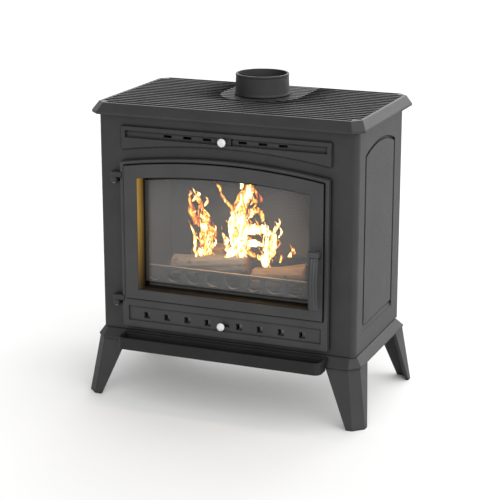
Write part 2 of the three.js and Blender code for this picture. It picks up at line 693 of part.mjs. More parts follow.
function sideLiner(side) {
  const [x0, x1] = side > 0 ? [linerInner, linerHalfWidth] : [-linerHalfWidth, -linerInner];
  return block(x0, x1, LINER_FRONT, LINER_BACK, hearthTop + GAP, linerTop);
}

function backLiner() {
  const half = linerInner - GAP;
  return block(-half, half, LINER_BACK - LINER_THICKNESS, LINER_BACK, hearthTop + GAP, linerTop);
}

function baffle() {
  const z0 = linerTop + GAP;
  return block(-linerHalfWidth, linerHalfWidth, LINER_FRONT + BAFFLE_SETBACK, LINER_BACK, z0, z0 + BAFFLE_THICKNESS);
}

// A cast fence in front of the logs, pierced by flat-topped, round-bottomed holes.
function logGuard() {
  const half = windowHalfWidth + 24;
  const plate = block(-half, half, guardFront, guardFront + GUARD_THICKNESS, hearthTop + GAP, guardTop);
  const [top, r] = [guardTop - GUARD_BAR, GUARD_HOLE_RADIUS];
  const holes = Array.from({ length: GUARD_HOLES }, (_, i) => {
    const x = GUARD_PITCH * (i - (GUARD_HOLES - 1) / 2);
    const shape = new THREE.Shape();
    shape.moveTo(x - r, top);
    shape.lineTo(x - r, top - 12);
    shape.absarc(x, top - 12, r, Math.PI, Math.PI * 2, false);
    shape.lineTo(x + r, top);
    return prismY(shape, guardFront - 1, guardFront + GUARD_THICKNESS + 1, 12);
  });
  return without(plate, holes);
}

// ---------------------------------------------------------------- door
// The band that the door rope lies in, drawn in X and Z.
function ropeBand(spread) {
  const middle = ROPE_INSET + ROPE_WIDTH / 2;
  const half = ROPE_WIDTH / 2 + spread;
  const outer = middle - half;
  const inner = middle + half;
  const ring = arched(doorHalfWidth - outer, doorBottom + outer - 7, doorApex - outer - 4);
  ring.holes.push(arched(doorHalfWidth - inner, doorBottom + inner - 7, doorApex - inner - 4));
  return ring;
}

function armBlock(jointZ, clearance) {
  const c = clearance;
  return block(hingeX, -doorHalfWidth + ARM_BITE + c, doorFront - 1 - c, HINGE_Y + 6 + c,
    jointZ + GAP - c, jointZ + KNUCKLE_HEIGHT + c);
}

function doorFrame() {
  const slab = prismY(arched(doorHalfWidth, doorBottom, doorApex), doorFront, doorBack, 24);
  const g = FRAME_GROOVE;
  const seat = prismY(
    arched(frameHalfWidth + g, frameBottom - g, frameApex + g), doorFront - 1, frameBack + GAP, 24,
  );
  const s = SLEEVE_WALL + SLIDE_GAP;
  const mouth = prismY(
    arched(windowHalfWidth + s, windowBottom - s, windowApex + s), doorFront - 1, doorBack + 1, 24,
  );
  const strip = block(-stripHalfWidth, stripHalfWidth, doorFront - 1, stripFloor, stripBottom, stripBottom + STRIP_HEIGHT);
  const holes = airHoles.map((x) => block(
    x - AIR_HOLE / 2, x + AIR_HOLE / 2, doorFront - 1, doorBack + 1,
    airHoleZ - AIR_HOLE / 2, airHoleZ + AIR_HOLE / 2,
  ));
  const stem = KNOB_STEM_RADIUS + SLIDE_GAP;
  const stemSlot = block(
    -LOWER_SHUT_TRAVEL - stem, LOWER_OPEN_TRAVEL + stem, doorFront - 1, doorBack + 1,
    airHoleZ - stem, airHoleZ + stem,
  );
  const ropeGroove = prismY(ropeBand(0.4), doorBack - ROPE_DEPTH, doorBack + 1, 24);
  const spindleHole = bar(SPINDLE_RADIUS + FIT, 40, "y", spindleX, doorFront - 10, handlePivotZ);
  const notches = hingeHeights.map((z) => armBlock(z, 0.8));
  const rails = shutterRails(airHoles.at(-1) + AIR_HOLE, airHoleZ, AIR_HOLE, doorBack);
  return without(
    union([slab, ...rails]), [seat, mouth, strip, ...holes, stemSlot, ropeGroove, spindleHole, ...notches],
  );
}

function glassFrame() {
  const flange = prismY(
    arched(frameHalfWidth, frameBottom, frameApex), frameFront, frameBack, 24,
  );
  const w = SLEEVE_WALL;
  const sleeve = prismY(
    arched(windowHalfWidth + w, windowBottom - w, windowApex + w), frameFront + 1, glassFront - GAP, 24,
  );
  const window = prismY(
    arched(windowHalfWidth, windowBottom, windowApex), frameFront - 1, glassFront + 1, 24,
  );
  const spindleHole = bar(SPINDLE_RADIUS + FIT, 40, "y", spindleX, frameFront - 10, handlePivotZ);
  return without(flange.add(sleeve), [window, spindleHole]);
}

function doorGlass() {
  const w = SLEEVE_WALL - 1;
  return prismY(
    arched(windowHalfWidth + w, windowBottom - w, windowApex + w),
    glassFront, glassFront + GLASS_THICKNESS, 24,
  );
}

// A small hook screwed to the sleeve's edge that holds the pane from behind.
function glassClip(x, side) {
  const edge = side > 0 ? windowApex + SLEEVE_WALL - 1 : windowBottom - SLEEVE_WALL + 1;
  const back = clipFront + CLIP_THICKNESS;
  const drop = side > 0 ? ARCH_RADIUS - Math.sqrt(ARCH_RADIUS ** 2 - (Math.abs(x) + 12) ** 2) : 0;
  const z = edge - drop;
  return side > 0
    ? block(x - 12, x + 12, clipFront, back, z - 14, z)
    : block(x - 12, x + 12, clipFront, back, z, z + 14);
}

function doorRope() {
  return prismY(ropeBand(0), doorBack - ROPE_DEPTH + GAP, BODY_FRONT - GAP, 24);
}

function hingeLug(jointZ) {
  const z0 = jointZ - KNUCKLE_HEIGHT;
  const knuckle = bar(KNUCKLE_RADIUS, KNUCKLE_HEIGHT, "z", hingeX, HINGE_Y, z0);
  const web = block(hingeX - KNUCKLE_RADIUS, hingeX + KNUCKLE_RADIUS, HINGE_Y, BODY_FRONT - GAP, z0, jointZ);
  return knuckle.add(web).subtract(bar(PIN_RADIUS + FIT, 60, "z", hingeX, HINGE_Y, z0 - 10));
}

function hingeArm(jointZ) {
  const z0 = jointZ + GAP;
  const knuckle = bar(KNUCKLE_RADIUS, KNUCKLE_HEIGHT - GAP, "z", hingeX, HINGE_Y, z0);
  return knuckle.add(armBlock(jointZ, 0))
    .subtract(bar(PIN_RADIUS + FIT, 60, "z", hingeX, HINGE_Y, z0 - 20));
}

function hingePin(jointZ) {
  const below = jointZ - KNUCKLE_HEIGHT - 3;
  const cap = bar(PIN_RADIUS + 2, 3 - GAP, "z", hingeX, HINGE_Y, below);
  return cap.add(bar(PIN_RADIUS, KNUCKLE_HEIGHT * 2 + 1, "z", hingeX, HINGE_Y, below + 1));
}

// ---------------------------------------------------------------- handle and latch
// A bowed grip with a block at its head that turns on the spindle.
function handle() {
  const [top, bottom] = [handleTop - 9, handleBottom];
  const middle = (top + bottom) / 2;
  const half = (top - bottom) / 2;
  const bow = (z) => gripBack - HANDLE_BOW * (1 - ((z - middle) / half) ** 2);
  const steps = 14;
  const heights = Array.from({ length: steps + 1 }, (_, i) => bottom + ((top - bottom) * i) / steps);
  const back = heights.map((z) => [bow(z), z]);
  const front = heights.map((z) => [bow(z) - HANDLE_THICKNESS, z]).reverse();
  const [x0, x1] = [gripX - HANDLE_WIDTH / 2, gripX + HANDLE_WIDTH / 2];
  const grip = prismX(outline([...back, ...front]), x0, x1);
  const head = block(x0 - 1.5, x1 + 1.5, gripBack - HANDLE_THICKNESS - 1, gripBack + 3, top - 8, handleTop);
  const neckLength = HANDLE_STANDOFF - 2;
  const neck = bar(SPINDLE_RADIUS + 5, neckLength, "y", spindleX, gripBack, handlePivotZ);
  const socket = bar(SPINDLE_RADIUS + FIT, HANDLE_STANDOFF + 2, "y", spindleX, gripBack, handlePivotZ);
  return union([grip, head, neck]).subtract(socket);
}

function spindle() {
  const start = gripBack + GAP;
  return bar(SPINDLE_RADIUS, camFront + CAM_THICKNESS + 2 - start, "y", spindleX, start, handlePivotZ);
}

// The tongue hangs from the spindle and wedges down on to the keeper.
function latchCam() {
  const hub = bar(SPINDLE_RADIUS + 4, CAM_THICKNESS, "y", spindleX, camFront, handlePivotZ);
  const tongue = block(spindleX - CAM_WIDTH / 2, spindleX + CAM_WIDTH / 2, camFront, camFront + CAM_THICKNESS,
    handlePivotZ - CAM_LENGTH, handlePivotZ);
  return hub.add(tongue).subtract(
    bar(SPINDLE_RADIUS + FIT, CAM_THICKNESS + 4, "y", spindleX, camFront - 2, handlePivotZ),
  );
}

// A bracket on the back of the front plate with a shelf that the tongue comes down on.
function latchKeeper() {
  const top = handlePivotZ - CAM_LENGTH - CAM_CLEARANCE;
  const face = frontBack + GAP;
  const plate = block(openingHalfWidth + 2, openingHalfWidth + 30, face, face + 4, top - 40, top - 4);
  const shelf = block(spindleX - CAM_WIDTH / 2, spindleX + 16, face, camFront + CAM_THICKNESS, top - 12, top);
  return plate.add(shelf);
}

// ---------------------------------------------------------------- air slides
function shutter(centres, width, height, holeZ, offset, frontY) {
  const reach = centres.at(-1) + width / 2 + SHUTTER_MARGIN;
  const half = height / 2 + SHUTTER_MARGIN;
  const plate = block(-reach, reach, frontY, frontY + SHUTTER_THICKNESS, holeZ - half, holeZ + half);
  const holes = centres.map((x) => block(
    x + offset - width / 2, x + offset + width / 2, frontY - 1, frontY + SHUTTER_THICKNESS + 1,
    holeZ - height / 2, holeZ + height / 2,
  ));
  return without(plate, holes);
}

function knob(x, y, z, radius) {
  const profile = [
    [0, 0], [KNOB_NECK, 0], [KNOB_NECK, 2], [radius - 1, 2], [radius, 3],
    [radius, KNOB_THICKNESS - 1.5], [radius - 1.5, KNOB_THICKNESS], [0, KNOB_THICKNESS],
  ];
  const geometry = new THREE.LatheGeometry(profile.map(([r, h]) => new THREE.Vector2(r, h)), 32);
  geometry.rotateX(Math.PI);
  geometry.translate(x, y, z);
  return solid(geometry);
}

// The sliding block in the channel, with the stem that reaches the shutter.
function upperTab() {
  const h = CHANNEL_HEIGHT / 2 - SLIDE_GAP;
  const tab = block(-TAB_HALF_WIDTH, TAB_HALF_WIDTH, tabFront, BODY_FRONT - SLIDE_GAP, channelZ - h, channelZ + h);
  const stem = bar(KNOB_STEM_RADIUS, upperShutterFront - GAP - BODY_FRONT + 3, "y", 0, BODY_FRONT - 3, channelZ);
  const neck = bar(KNOB_STEM_RADIUS, UPPER_STEM_REACH + 3, "y", 0, tabFront - UPPER_STEM_REACH, channelZ);
  return tab.add(stem).add(neck);
}

function lowerStem() {
  const start = doorFront - 8;
  return bar(KNOB_STEM_RADIUS, lowerShutterFront - GAP - start, "y", 0, start, airHoleZ);
}

// ---------------------------------------------------------------- assembly
addPiece("top_plate", topPlate(), iron);
addPiece("flue_collar", flueCollar(), iron);
addPiece("front_plate", frontPlate(), iron);
addPiece("side_panel_left", sidePanel(-1), iron);
addPiece("side_panel_right", sidePanel(1), iron);
addPiece("back_panel", backPanel(), iron);
addPiece("base_plate", basePlate(), iron);

for (const [end, sideY] of [["front", -1], ["back", 1]]) {
  for (const [hand, sideX] of [["left", -1], ["right", 1]]) {
    addPiece(`leg_${end}_${hand}`, leg(sideX, sideY), iron);
  }
}
boltSpots.forEach(([x, y], i) => addPiece(`leg_bolt_${i + 1}`, legBolt(x, y), steel));
addPiece("ash_lip", ashLip(), iron);

addPiece("ash_shelf", ashShelf(), iron);
addPiece("ash_pan", ashPan(), steel);
addPiece("hearth_plate", hearthPlate(), iron);
addPiece("fire_grate", fireGrate(), iron);
addPiece("liner_left", sideLiner(-1), firebrick);
addPiece("liner_right", sideLiner(1), firebrick);
addPiece("liner_back", backLiner(), firebrick);
addPiece("baffle", baffle(), firebrick);
addPiece("log_guard", logGuard(), iron);

addPiece("door_frame", doorFrame(), iron);
addPiece("glass_frame", glassFrame(), iron);
addPiece("door_glass", doorGlass(), glassLook);
[[-150, 1], [150, 1], [-150, -1], [150, -1]].forEach(([x, side], i) => {
  addPiece(`glass_clip_${i + 1}`, glassClip(x, side), steel);
});
addPiece("door_rope", doorRope(), rope);

hingeHeights.forEach((z, i) => {
  const place = i === 0 ? "lower" : "upper";
  addPiece(`hinge_lug_${place}`, hingeLug(z), iron);
  addPiece(`hinge_arm_${place}`, hingeArm(z), iron);
  addPiece(`hinge_pin_${place}`, hingePin(z), steel);
});

addPiece("handle", handle(), iron);
addPiece("handle_spindle", spindle(), steel);
addPiece("latch_cam", latchCam(), steel);
addPiece("latch_keeper", latchKeeper(), steel);

addPiece("upper_air_shutter",
  shutter(washSlots, WASH_SLOT_LENGTH, WASH_SLOT_HEIGHT, channelZ, -UPPER_TRAVEL, upperShutterFront), steel);
addPiece("upper_air_tab", upperTab(), iron);
addPiece("upper_air_knob", knob(0, tabFront - UPPER_STEM_REACH - GAP, channelZ, KNOB_RADIUS + 0.5), silver);
addPiece("lower_air_shutter",
  shutter(airHoles, AIR_HOLE, AIR_HOLE, airHoleZ, -LOWER_OPEN_TRAVEL, lowerShutterFront), steel);
addPiece("lower_air_stem", lowerStem(), steel);
addPiece("lower_air_knob", knob(0, doorFront - 8 - GAP, airHoleZ, KNOB_RADIUS), silver);

export default stove;
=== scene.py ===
# %% [markdown]
# # A cast-iron wood burning stove
# The stove is a box of cast plates on four legs, with an arched glass door, two air
# slides and a flue collar. The measured model gives every solid its place. This lesson
# adds what a maker adds after the casting: rounded edges, paint, a braided rope, a
# fluted handle, and logs with a fire on them.

# %% Load the measured model
import bmesh
import bpy
import math
import numpy as np
from mathutils import Matrix, Vector


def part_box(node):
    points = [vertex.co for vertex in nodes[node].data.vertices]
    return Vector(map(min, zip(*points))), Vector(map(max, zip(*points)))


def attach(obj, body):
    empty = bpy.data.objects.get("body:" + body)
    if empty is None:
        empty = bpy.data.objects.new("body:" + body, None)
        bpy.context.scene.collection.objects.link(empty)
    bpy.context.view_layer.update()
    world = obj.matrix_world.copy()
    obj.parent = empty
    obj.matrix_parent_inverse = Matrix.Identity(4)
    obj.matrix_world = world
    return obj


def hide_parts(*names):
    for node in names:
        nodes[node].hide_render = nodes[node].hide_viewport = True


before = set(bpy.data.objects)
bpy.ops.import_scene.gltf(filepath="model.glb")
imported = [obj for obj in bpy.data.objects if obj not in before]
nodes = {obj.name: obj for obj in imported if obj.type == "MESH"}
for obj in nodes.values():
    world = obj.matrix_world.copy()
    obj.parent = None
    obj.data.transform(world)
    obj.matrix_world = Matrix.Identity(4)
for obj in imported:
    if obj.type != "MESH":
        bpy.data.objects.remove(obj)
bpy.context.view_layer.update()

print("solids loaded:", len(nodes))

# %% [markdown]
# ## The camera
# A product view from the right and a little above. A long lens keeps the upright edges
# nearly parallel. The camera is placed by two angles and a distance from a point in the
# middle of the stove, so it can be walked round by changing one number.

# %% Camera
AIM = Vector((0.0, 0.0075, 0.400))
AZIMUTH, ELEVATION, DISTANCE = math.radians(22.05), math.radians(15.82), 4.45374
SIDESTEP, RISE = -0.00326, -0.00146
LENS_MM, SENSOR_MM = 114.87, 36.0

away = Vector((
    math.sin(AZIMUTH) * math.cos(ELEVATION),
    -math.cos(AZIMUTH) * math.cos(ELEVATION),
    math.sin(ELEVATION),
))
across = Vector((math.cos(AZIMUTH), math.sin(AZIMUTH), 0.0))
upward = away.cross(across)
camera_data = bpy.data.cameras.new("product_camera")
camera_data.lens, camera_data.sensor_width = LENS_MM, SENSOR_MM
camera = bpy.data.objects.new("product_camera", camera_data)
turn = Matrix((across, upward, away)).transposed().to_4x4()
camera.matrix_world = Matrix.Translation(
    AIM + away * DISTANCE + across * SIDESTEP + upward * RISE) @ turn
bpy.context.scene.collection.objects.link(camera)
bpy.context.scene.camera = camera
print("camera at", tuple(round(v, 3) for v in camera.location))

# %% [markdown]
# ## Small helpers for nodes
# A finish is a little network of nodes. `finish` starts one with a Principled shader,
# and `add` puts one node in and wires it up, so that each finish below reads as a recipe.

# %% Node helpers
def finish(name, roughness=0.5, metallic=0.0, specular=0.5):
    """A new material: its Principled shader on an output, with the even values set."""
    material = bpy.data.materials.new(name)
    material.use_nodes = True
    tree = material.node_tree
    shader = tree.nodes["Principled BSDF"]
    shader.inputs["Roughness"].default_value = roughness
    shader.inputs["Metallic"].default_value = metallic
    shader.inputs["Specular IOR Level"].default_value = specular
    return material, tree, shader


def add(tree, kind, settings=None, **sockets):
    """Adds one node. A socket takes a number or colour, or another socket to wire from."""
    node = tree.nodes.new(kind)
    for key, value in (settings or {}).items():
        setattr(node, key, value)
    for key, value in sockets.items():
        socket = node.inputs[int(key[1:])] if key[1:].isdigit() else node.inputs[
            key.replace("_", " ")]
        if isinstance(value, bpy.types.NodeSocket):
            tree.links.new(value, socket)
        else:
            socket.default_value = value
    return node


def noise(tree, place, scale, detail=3.0, roughness=0.55):
    """Cloudy noise between 0 and 1, with lumps about 1/scale metres across."""
    return add(tree, "ShaderNodeTexNoise", Vector=place, Scale=scale, Detail=detail,
               Roughness=roughness).outputs["Fac"]


def ramp(tree, value, stops):
    """Turns a number into a colour through stops of (position, colour)."""
    node = add(tree, "ShaderNodeValToRGB", Fac=value)
    band = node.color_ramp
    while len(band.elements) < len(stops):
        band.elements.new(0.5)
    for element, (position, colour) in zip(band.elements, stops):
        element.position = position
        element.color = (*colour, 1.0) if len(colour) == 3 else colour
    return node.outputs["Color"]


def sums(tree, operation, a, b=0.0, c=0.0):
    """One step of arithmetic on numbers or sockets."""
    return add(tree, "ShaderNodeMath", {"operation": operation}, _0=a, _1=b, _2=c).outputs[0]


def spread(tree, value, low, high):
    """Stretches a 0 to 1 value over low to high."""
    return add(tree, "ShaderNodeMapRange", Value=value, To_Min=low, To_Max=high).outputs[0]


def blend_colours(tree, factor, first, second):
    """Blends two colours by a factor."""
    return add(tree, "ShaderNodeMix", {"data_type": "RGBA"}, _0=factor, _6=first,
               _7=second).outputs[2]


def relief(tree, shader, height, depth):
    """Raises the surface by height times depth, as a bump on the shader's normal."""
    bump = add(tree, "ShaderNodeBump", Height=height, Distance=depth, Strength=1.0)
    tree.links.new(bump.outputs["Normal"], shader.inputs["Normal"])


print("node helpers ready")

# %% [markdown]
# ## Stove paint on sand-cast iron
# The plates come out of a sand mould with a fine grain. A matt heat-proof paint darkens
# them to anthracite. The recipe has three scales: clouds a hand wide where the paint lies
# thicker, a soft orange peel, and the grain of the sand. A top colour settles on what faces
# up: dust, and on the log guard a gold of ash and painted firelight. In every nook narrower
# than NOOK_REACH the colour is painted nearly black and the sheen is dimmed: painted shade.

# %% Cast iron finishes
NOOK_REACH = 0.008


def painted_iron(name, dark, light, dust_and_firelight, gloss=(0.46, 0.60), grain=0.00016, sheen=0.30,
                 nook_shade=(0.003, 0.003, 0.003)):
    """Cloudy paint dark to light, a top colour, painted shade in nooks, over a sandy bump."""
    material, tree, shader = finish(name)
    place = add(tree, "ShaderNodeTexCoord").outputs["Object"]
    clouds = noise(tree, place, 9.0, 4.0)
    peel = noise(tree, place, 160.0, 2.0)
    sand = noise(tree, place, 950.0, 3.0, 0.7)
    paint = ramp(tree, clouds, [(0.30, dark), (0.72, light)])
    facing = add(tree, "ShaderNodeSeparateXYZ",
                 _0=add(tree, "ShaderNodeNewGeometry").outputs["Normal"]).outputs["Z"]
    # Upward faces take the top colour: real dust, and on the log guard also painted firelight.
    upward_share = sums(tree, "MULTIPLY", add(
        tree, "ShaderNodeMapRange", Value=facing, From_Min=0.55, From_Max=1.0).outputs[0],
        spread(tree, noise(tree, place, 60.0, 4.0), 0.25, 1.0))
    top_colour = blend_colours(tree, upward_share, paint, (*dust_and_firelight, 1.0))
    # Painted shade: ambient occlusion darkens the colour and dims the sheen in nooks.
    nook = add(tree, "ShaderNodeAmbientOcclusion", {"samples": 6}, Distance=NOOK_REACH)
    open_air = sums(tree, "POWER", nook.outputs["AO"], 1.6)
    tree.links.new(blend_colours(tree, open_air, (*nook_shade, 1.0), top_colour),
                   shader.inputs["Base Color"])
    tree.links.new(sums(tree, "MULTIPLY", open_air, sheen),
                   shader.inputs["Specular IOR Level"])
    tree.links.new(spread(tree, peel, *gloss), shader.inputs["Roughness"])
    height = sums(tree, "ADD", sums(tree, "MULTIPLY", sand, 0.55), peel)
    relief(tree, shader, height, grain)
    return material


stove_paint = painted_iron("stove_paint", (0.018, 0.018, 0.018), (0.026, 0.026, 0.026),
                           (0.040, 0.040, 0.039))
# A lighter copy of the stove paint for the door and glass frame: painted light for their
# brighter tone.
lit_door_paint = painted_iron("lit_door_paint", (0.027, 0.027, 0.027), (0.036, 0.036, 0.036),
                          (0.050, 0.050, 0.049), sheen=0.34)
# A darker copy of the stove paint is painted shade, on the low ash lip and behind the upper
# slots.
shade_dark_paint = painted_iron("shade_dark_paint", (0.008, 0.008, 0.008), (0.013, 0.013, 0.013),
                         (0.026, 0.026, 0.026), sheen=0.22)
handle_paint = painted_iron("handle_paint", (0.024, 0.025, 0.026), (0.034, 0.035, 0.037),
                            (0.05, 0.05, 0.05), (0.30, 0.40), 0.00006, 0.45)
sooted_iron = painted_iron("sooted_iron", (0.030, 0.028, 0.026), (0.060, 0.055, 0.048),
                           (0.16, 0.145, 0.125), (0.65, 0.85), 0.0003)
# The log guard: ash-grey iron whose upward faces are a warm gold, ash with painted firelight.
ash_and_firelight_iron = painted_iron("ash_and_firelight_iron", (0.045, 0.044, 0.042), (0.095, 0.092, 0.087),
                         (0.75, 0.56, 0.30), (0.45, 0.65), 0.0002, nook_shade=(0.012, 0.010, 0.008))
PAINTS = {"door_frame": lit_door_paint, "glass_frame": lit_door_paint, "ash_lip": shade_dark_paint}
print("iron finishes:", stove_paint.name, handle_paint.name, sooted_iron.name,
      ash_and_firelight_iron.name, lit_door_paint.name, shade_dark_paint.name)

# %% [markdown]
# ## Steel, silver, firebrick and rope
# Bolts, pins and the lower shutter are bare steel, brushed along one way; the upper
# shutter is painted near-black, as painted shade behind its slots. The two knobs are turned
# and plated to a satin silver. The firebox is lined with boards of pressed vermiculite,
# which show flakes of mica and a veil of soot that thickens towards the top.

# %% Metal finishes
def brushed(name, colour, shade, roughness, across_scale, metallic=1.0):
    """Metal with fine lines: noise squeezed along x so that it streaks that way."""
    material, tree, shader = finish(name, roughness, metallic)
    place = add(tree, "ShaderNodeTexCoord").outputs["Object"]
    squeezed = add(tree, "ShaderNodeMapping", Vector=place, Scale=across_scale)
    lines = noise(tree, squeezed.outputs["Vector"], 1.0, 5.0, 0.7)
    blotches = noise(tree, place, 45.0, 3.0)
    mixed = sums(tree, "ADD", sums(tree, "MULTIPLY", lines, 0.6),
                 sums(tree, "MULTIPLY", blotches, 0.4))
    tree.links.new(ramp(tree, mixed, [(0.32, shade), (0.62, colour)]),
                   shader.inputs["Base Color"])
    tree.links.new(spread(tree, lines, roughness * 0.8, roughness * 1.25),
                   shader.inputs["Roughness"])
    relief(tree, shader, lines, 0.00003)
    return material


bare_steel = brushed("bare_steel", (0.20, 0.20, 0.20), (0.09, 0.085, 0.08), 0.42,
                     (60.0, 900.0, 900.0))
satin_silver = brushed("satin_silver", (0.60, 0.60, 0.59), (0.52, 0.52, 0.51), 0.42,
                       (700.0, 700.0, 700.0), 0.25)
print("metal finishes:", bare_steel.name, satin_silver.name)


# %% Firebrick finish
def sooted_vermiculite():
    """Buff board with mica flakes from cells, under soot that grows with height."""
    material, tree, shader = finish("sooted_vermiculite", 0.9, specular=0.25)
    place = add(tree, "ShaderNodeTexCoord").outputs["Object"]
    flakes = add(tree, "ShaderNodeTexVoronoi", Vector=place, Scale=260.0).outputs["Distance"]
    board = ramp(tree, flakes, [(0.15, (0.20, 0.165, 0.12)), (0.55, (0.11, 0.09, 0.07))])
    height = add(tree, "ShaderNodeSeparateXYZ", _0=place).outputs["Z"]
    veil = add(tree, "ShaderNodeMapRange", Value=sums(
        tree, "ADD", height, spread(tree, noise(tree, place, 14.0, 5.0), -0.12, 0.12)),
        From_Min=0.26, From_Max=0.52).outputs[0]
    tree.links.new(blend_colours(tree, veil, board, (0.016, 0.015, 0.015, 1.0)),
                   shader.inputs["Base Color"])
    relief(tree, shader, flakes, 0.0006)
    return material


firebrick = sooted_vermiculite()
print("firebrick finish:", firebrick.name)

# %% [markdown]
# ## Rounding the cast edges
# No casting has a knife edge. The pattern maker rounds every arris, and paint rounds it
# more. A solid comes in as loose triangles, so a copy is merged, its flat faces are joined
# up into convex ones, and a bevel of about a millimetre runs round every corner sharper
# than 28 degrees. Weighted normals keep the large faces flat and let only the thin strips
# turn the light. The ribbed top plate has too many long thin faces for that, so it is
# shaded flat.

# %% Fettled copies of the castings
MERGE, FLAT, SHARP = 1e-5, math.radians(0.6), math.radians(28)
CAST_EDGE, FACE_WEIGHT = 0.0012, 90


def fettled(node, body, material, edge=CAST_EDGE, smooth=True):
    """A merged copy of a solid with its arrises rounded by edge metres."""
    mesh = nodes[node].data.copy()
    mesh.name = "cast_" + node
    if "custom_normal" in mesh.attributes:
        mesh.attributes.remove(mesh.attributes["custom_normal"])
    work = bmesh.new()
    work.from_mesh(mesh)
    bmesh.ops.remove_doubles(work, verts=work.verts, dist=MERGE)
    bmesh.ops.dissolve_limit(work, angle_limit=FLAT, verts=work.verts, edges=work.edges)
    bmesh.ops.connect_verts_concave(work, faces=work.faces)
    for face in work.faces:
        face.smooth = smooth
    work.to_mesh(mesh)
    work.free()
    mesh.materials.clear()
    mesh.materials.append(material)
    piece = bpy.data.objects.new("cast_" + node, mesh)
    bpy.context.scene.collection.objects.link(piece)
    bevel = piece.modifiers.new("rounded_arris", "BEVEL")
    bevel.width, bevel.segments = edge, 2
    bevel.limit_method, bevel.angle_limit = "ANGLE", SHARP
    bevel.use_clamp_overlap = False
    if smooth:
        piece.modifiers.new("flat_faces", "WEIGHTED_NORMAL").weight = FACE_WEIGHT
    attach(piece, body)
    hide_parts(node)
    return piece


CASTINGS = {
    "body": ["top_plate", "front_plate", "side_panel_left", "side_panel_right",
             "back_panel", "base_plate", "leg_front_left", "leg_front_right",
             "leg_back_left", "leg_back_right", "ash_lip", "hinge_lug_lower",
             "hinge_lug_upper"],
    "door": ["door_frame", "glass_frame", "hinge_arm_lower", "hinge_arm_upper"],
    "upper_air_slide": ["upper_air_tab"],
}
FINE_EDGE = {"upper_air_tab": 0.0006, "hinge_arm_lower": 0.0008, "hinge_arm_upper": 0.0008,
             "hinge_lug_lower": 0.0008, "hinge_lug_upper": 0.0008, "door_frame": 0.0009,
             "top_plate": 0.0010}
for body, names in CASTINGS.items():
    for node in names:
        fettled(node, body, PAINTS.get(node, stove_paint),
                FINE_EDGE.get(node, CAST_EDGE), smooth=node != "top_plate")
fettled("log_guard", "body", ash_and_firelight_iron, 0.0010)
print("castings fettled:", 1 + sum(len(names) for names in CASTINGS.values()))

# %% [markdown]
# Bolts, boards, pins and shutters are simple or hidden, so their solids stay as they are
# and only get a finish.

# %% Finishes for the solids that stay as they are
PLAIN = {
    sooted_iron: ["ash_shelf", "hearth_plate", "fire_grate"],
    # The upper shutter takes the darker copy as painted shade seen through its slots.
    shade_dark_paint: ["upper_air_shutter"],
    firebrick: ["liner_left", "liner_right", "liner_back", "baffle"],
    bare_steel: [*(f"leg_bolt_{n}" for n in range(1, 5)),
                 *(f"glass_clip_{n}" for n in range(1, 5)),
                 "ash_pan", "latch_keeper", "latch_cam", "handle_spindle",
                 "lower_air_shutter", "lower_air_stem", "hinge_pin_lower",
                 "hinge_pin_upper"],
}
for material, names in PLAIN.items():
    for node in names:
        nodes[node].data.materials.clear()
        nodes[node].data.materials.append(material)
print("solids painted:", sum(len(names) for names in PLAIN.values()))

# %% [markdown]
# ## Surfaces from numpy grids
# The round and carved pieces are worked out as grids of points. Row i and column j meet at
# one point, and every four neighbours make a face. The last column joins the first, so a
# grid is a tube or a ring, and rows that shrink to one point close its ends. The grid's own
# i and j are kept as a map, so that a pattern can follow the surface.

# %% Grid helper
WELD = 1e-6


def from_grid(name, points, body, material):
    """A mesh from points[i, j], where the last column joins the first."""
    rows, columns = points.shape[:2]
    i, j = np.meshgrid(np.arange(rows - 1), np.arange(columns), indexing="ij")
    corners_i = np.stack([i, i + 1, i + 1, i], -1).reshape(-1, 4)
    corners_j = np.stack([j, j, j + 1, j + 1], -1).reshape(-1, 4)
    faces = corners_i * columns + corners_j % columns
    mesh = bpy.data.meshes.new(name)
    mesh.from_pydata(points.reshape(-1, 3).tolist(), [], faces.tolist())
    layer = mesh.uv_layers.new(name="along_and_round")
    chart = np.stack([corners_j / columns, corners_i / (rows - 1)], -1)
    layer.data.foreach_set("uv", chart.astype(np.float32).ravel())
    work = bmesh.new()
    work.from_mesh(mesh)
    bmesh.ops.remove_doubles(work, verts=work.verts, dist=WELD)
    bmesh.ops.dissolve_degenerate(work, edges=work.edges, dist=WELD * 0.1)
    bmesh.ops.recalc_face_normals(work, faces=work.faces)
    for face in work.faces:
        face.smooth = True
    work.to_mesh(mesh)
    work.free()
    mesh.materials.append(material)
    piece = bpy.data.objects.new(name, mesh)
    bpy.context.scene.collection.objects.link(piece)
    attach(piece, body)
    return piece


def turned(profile, centre, axis, count=96):
    """A lathe surface: each (radius, height) of the profile goes round the axis."""
    radius, height = np.array(profile, float).T
    angle = np.linspace(0, 2 * np.pi, count, endpoint=False)
    side = radius[:, None] * np.cos(angle), radius[:, None] * np.sin(angle)
    rise = np.repeat(height[:, None], count, 1)
    order = {"z": (side[0], side[1], rise), "y": (side[0], rise, side[1])}[axis]
    return np.stack(order, -1) + np.array(centre)


def shrunk(ring, share):
    """A ring of points drawn in towards its middle; share 0 gives one point."""
    return (ring - ring.mean(0)) * share + ring.mean(0)


def rounded_path(corners, radius, steps=5):
    """Replaces each inner corner of a profile by a quadratic curve of that radius."""
    corners = np.array(corners, float)
    out = [corners[:1]]
    t = np.linspace(0, 1, steps)[:, None]
    for before, here, after in zip(corners[:-2], corners[1:-1], corners[2:]):
        cut = [min(radius, 0.45 * np.linalg.norm(p - here)) for p in (before, after)]
        start = here + (before - here) * cut[0] / np.linalg.norm(before - here)
        end = here + (after - here) * cut[1] / np.linalg.norm(after - here)
        out.append((1 - t) ** 2 * start + 2 * t * (1 - t) * here + t ** 2 * end)
    return np.vstack([*out, corners[-1:]])


print("grid helpers ready, welding points closer than", WELD)

# %% [markdown]
# ## The flue collar
# The collar is a slightly tapered spigot with a beaded rim that stands on the top plate. A
# profile turned on a lathe gives it true round walls, where the solid has flat sides. The
# profile starts and ends at the foot inside, so that the wall is one closed shell.

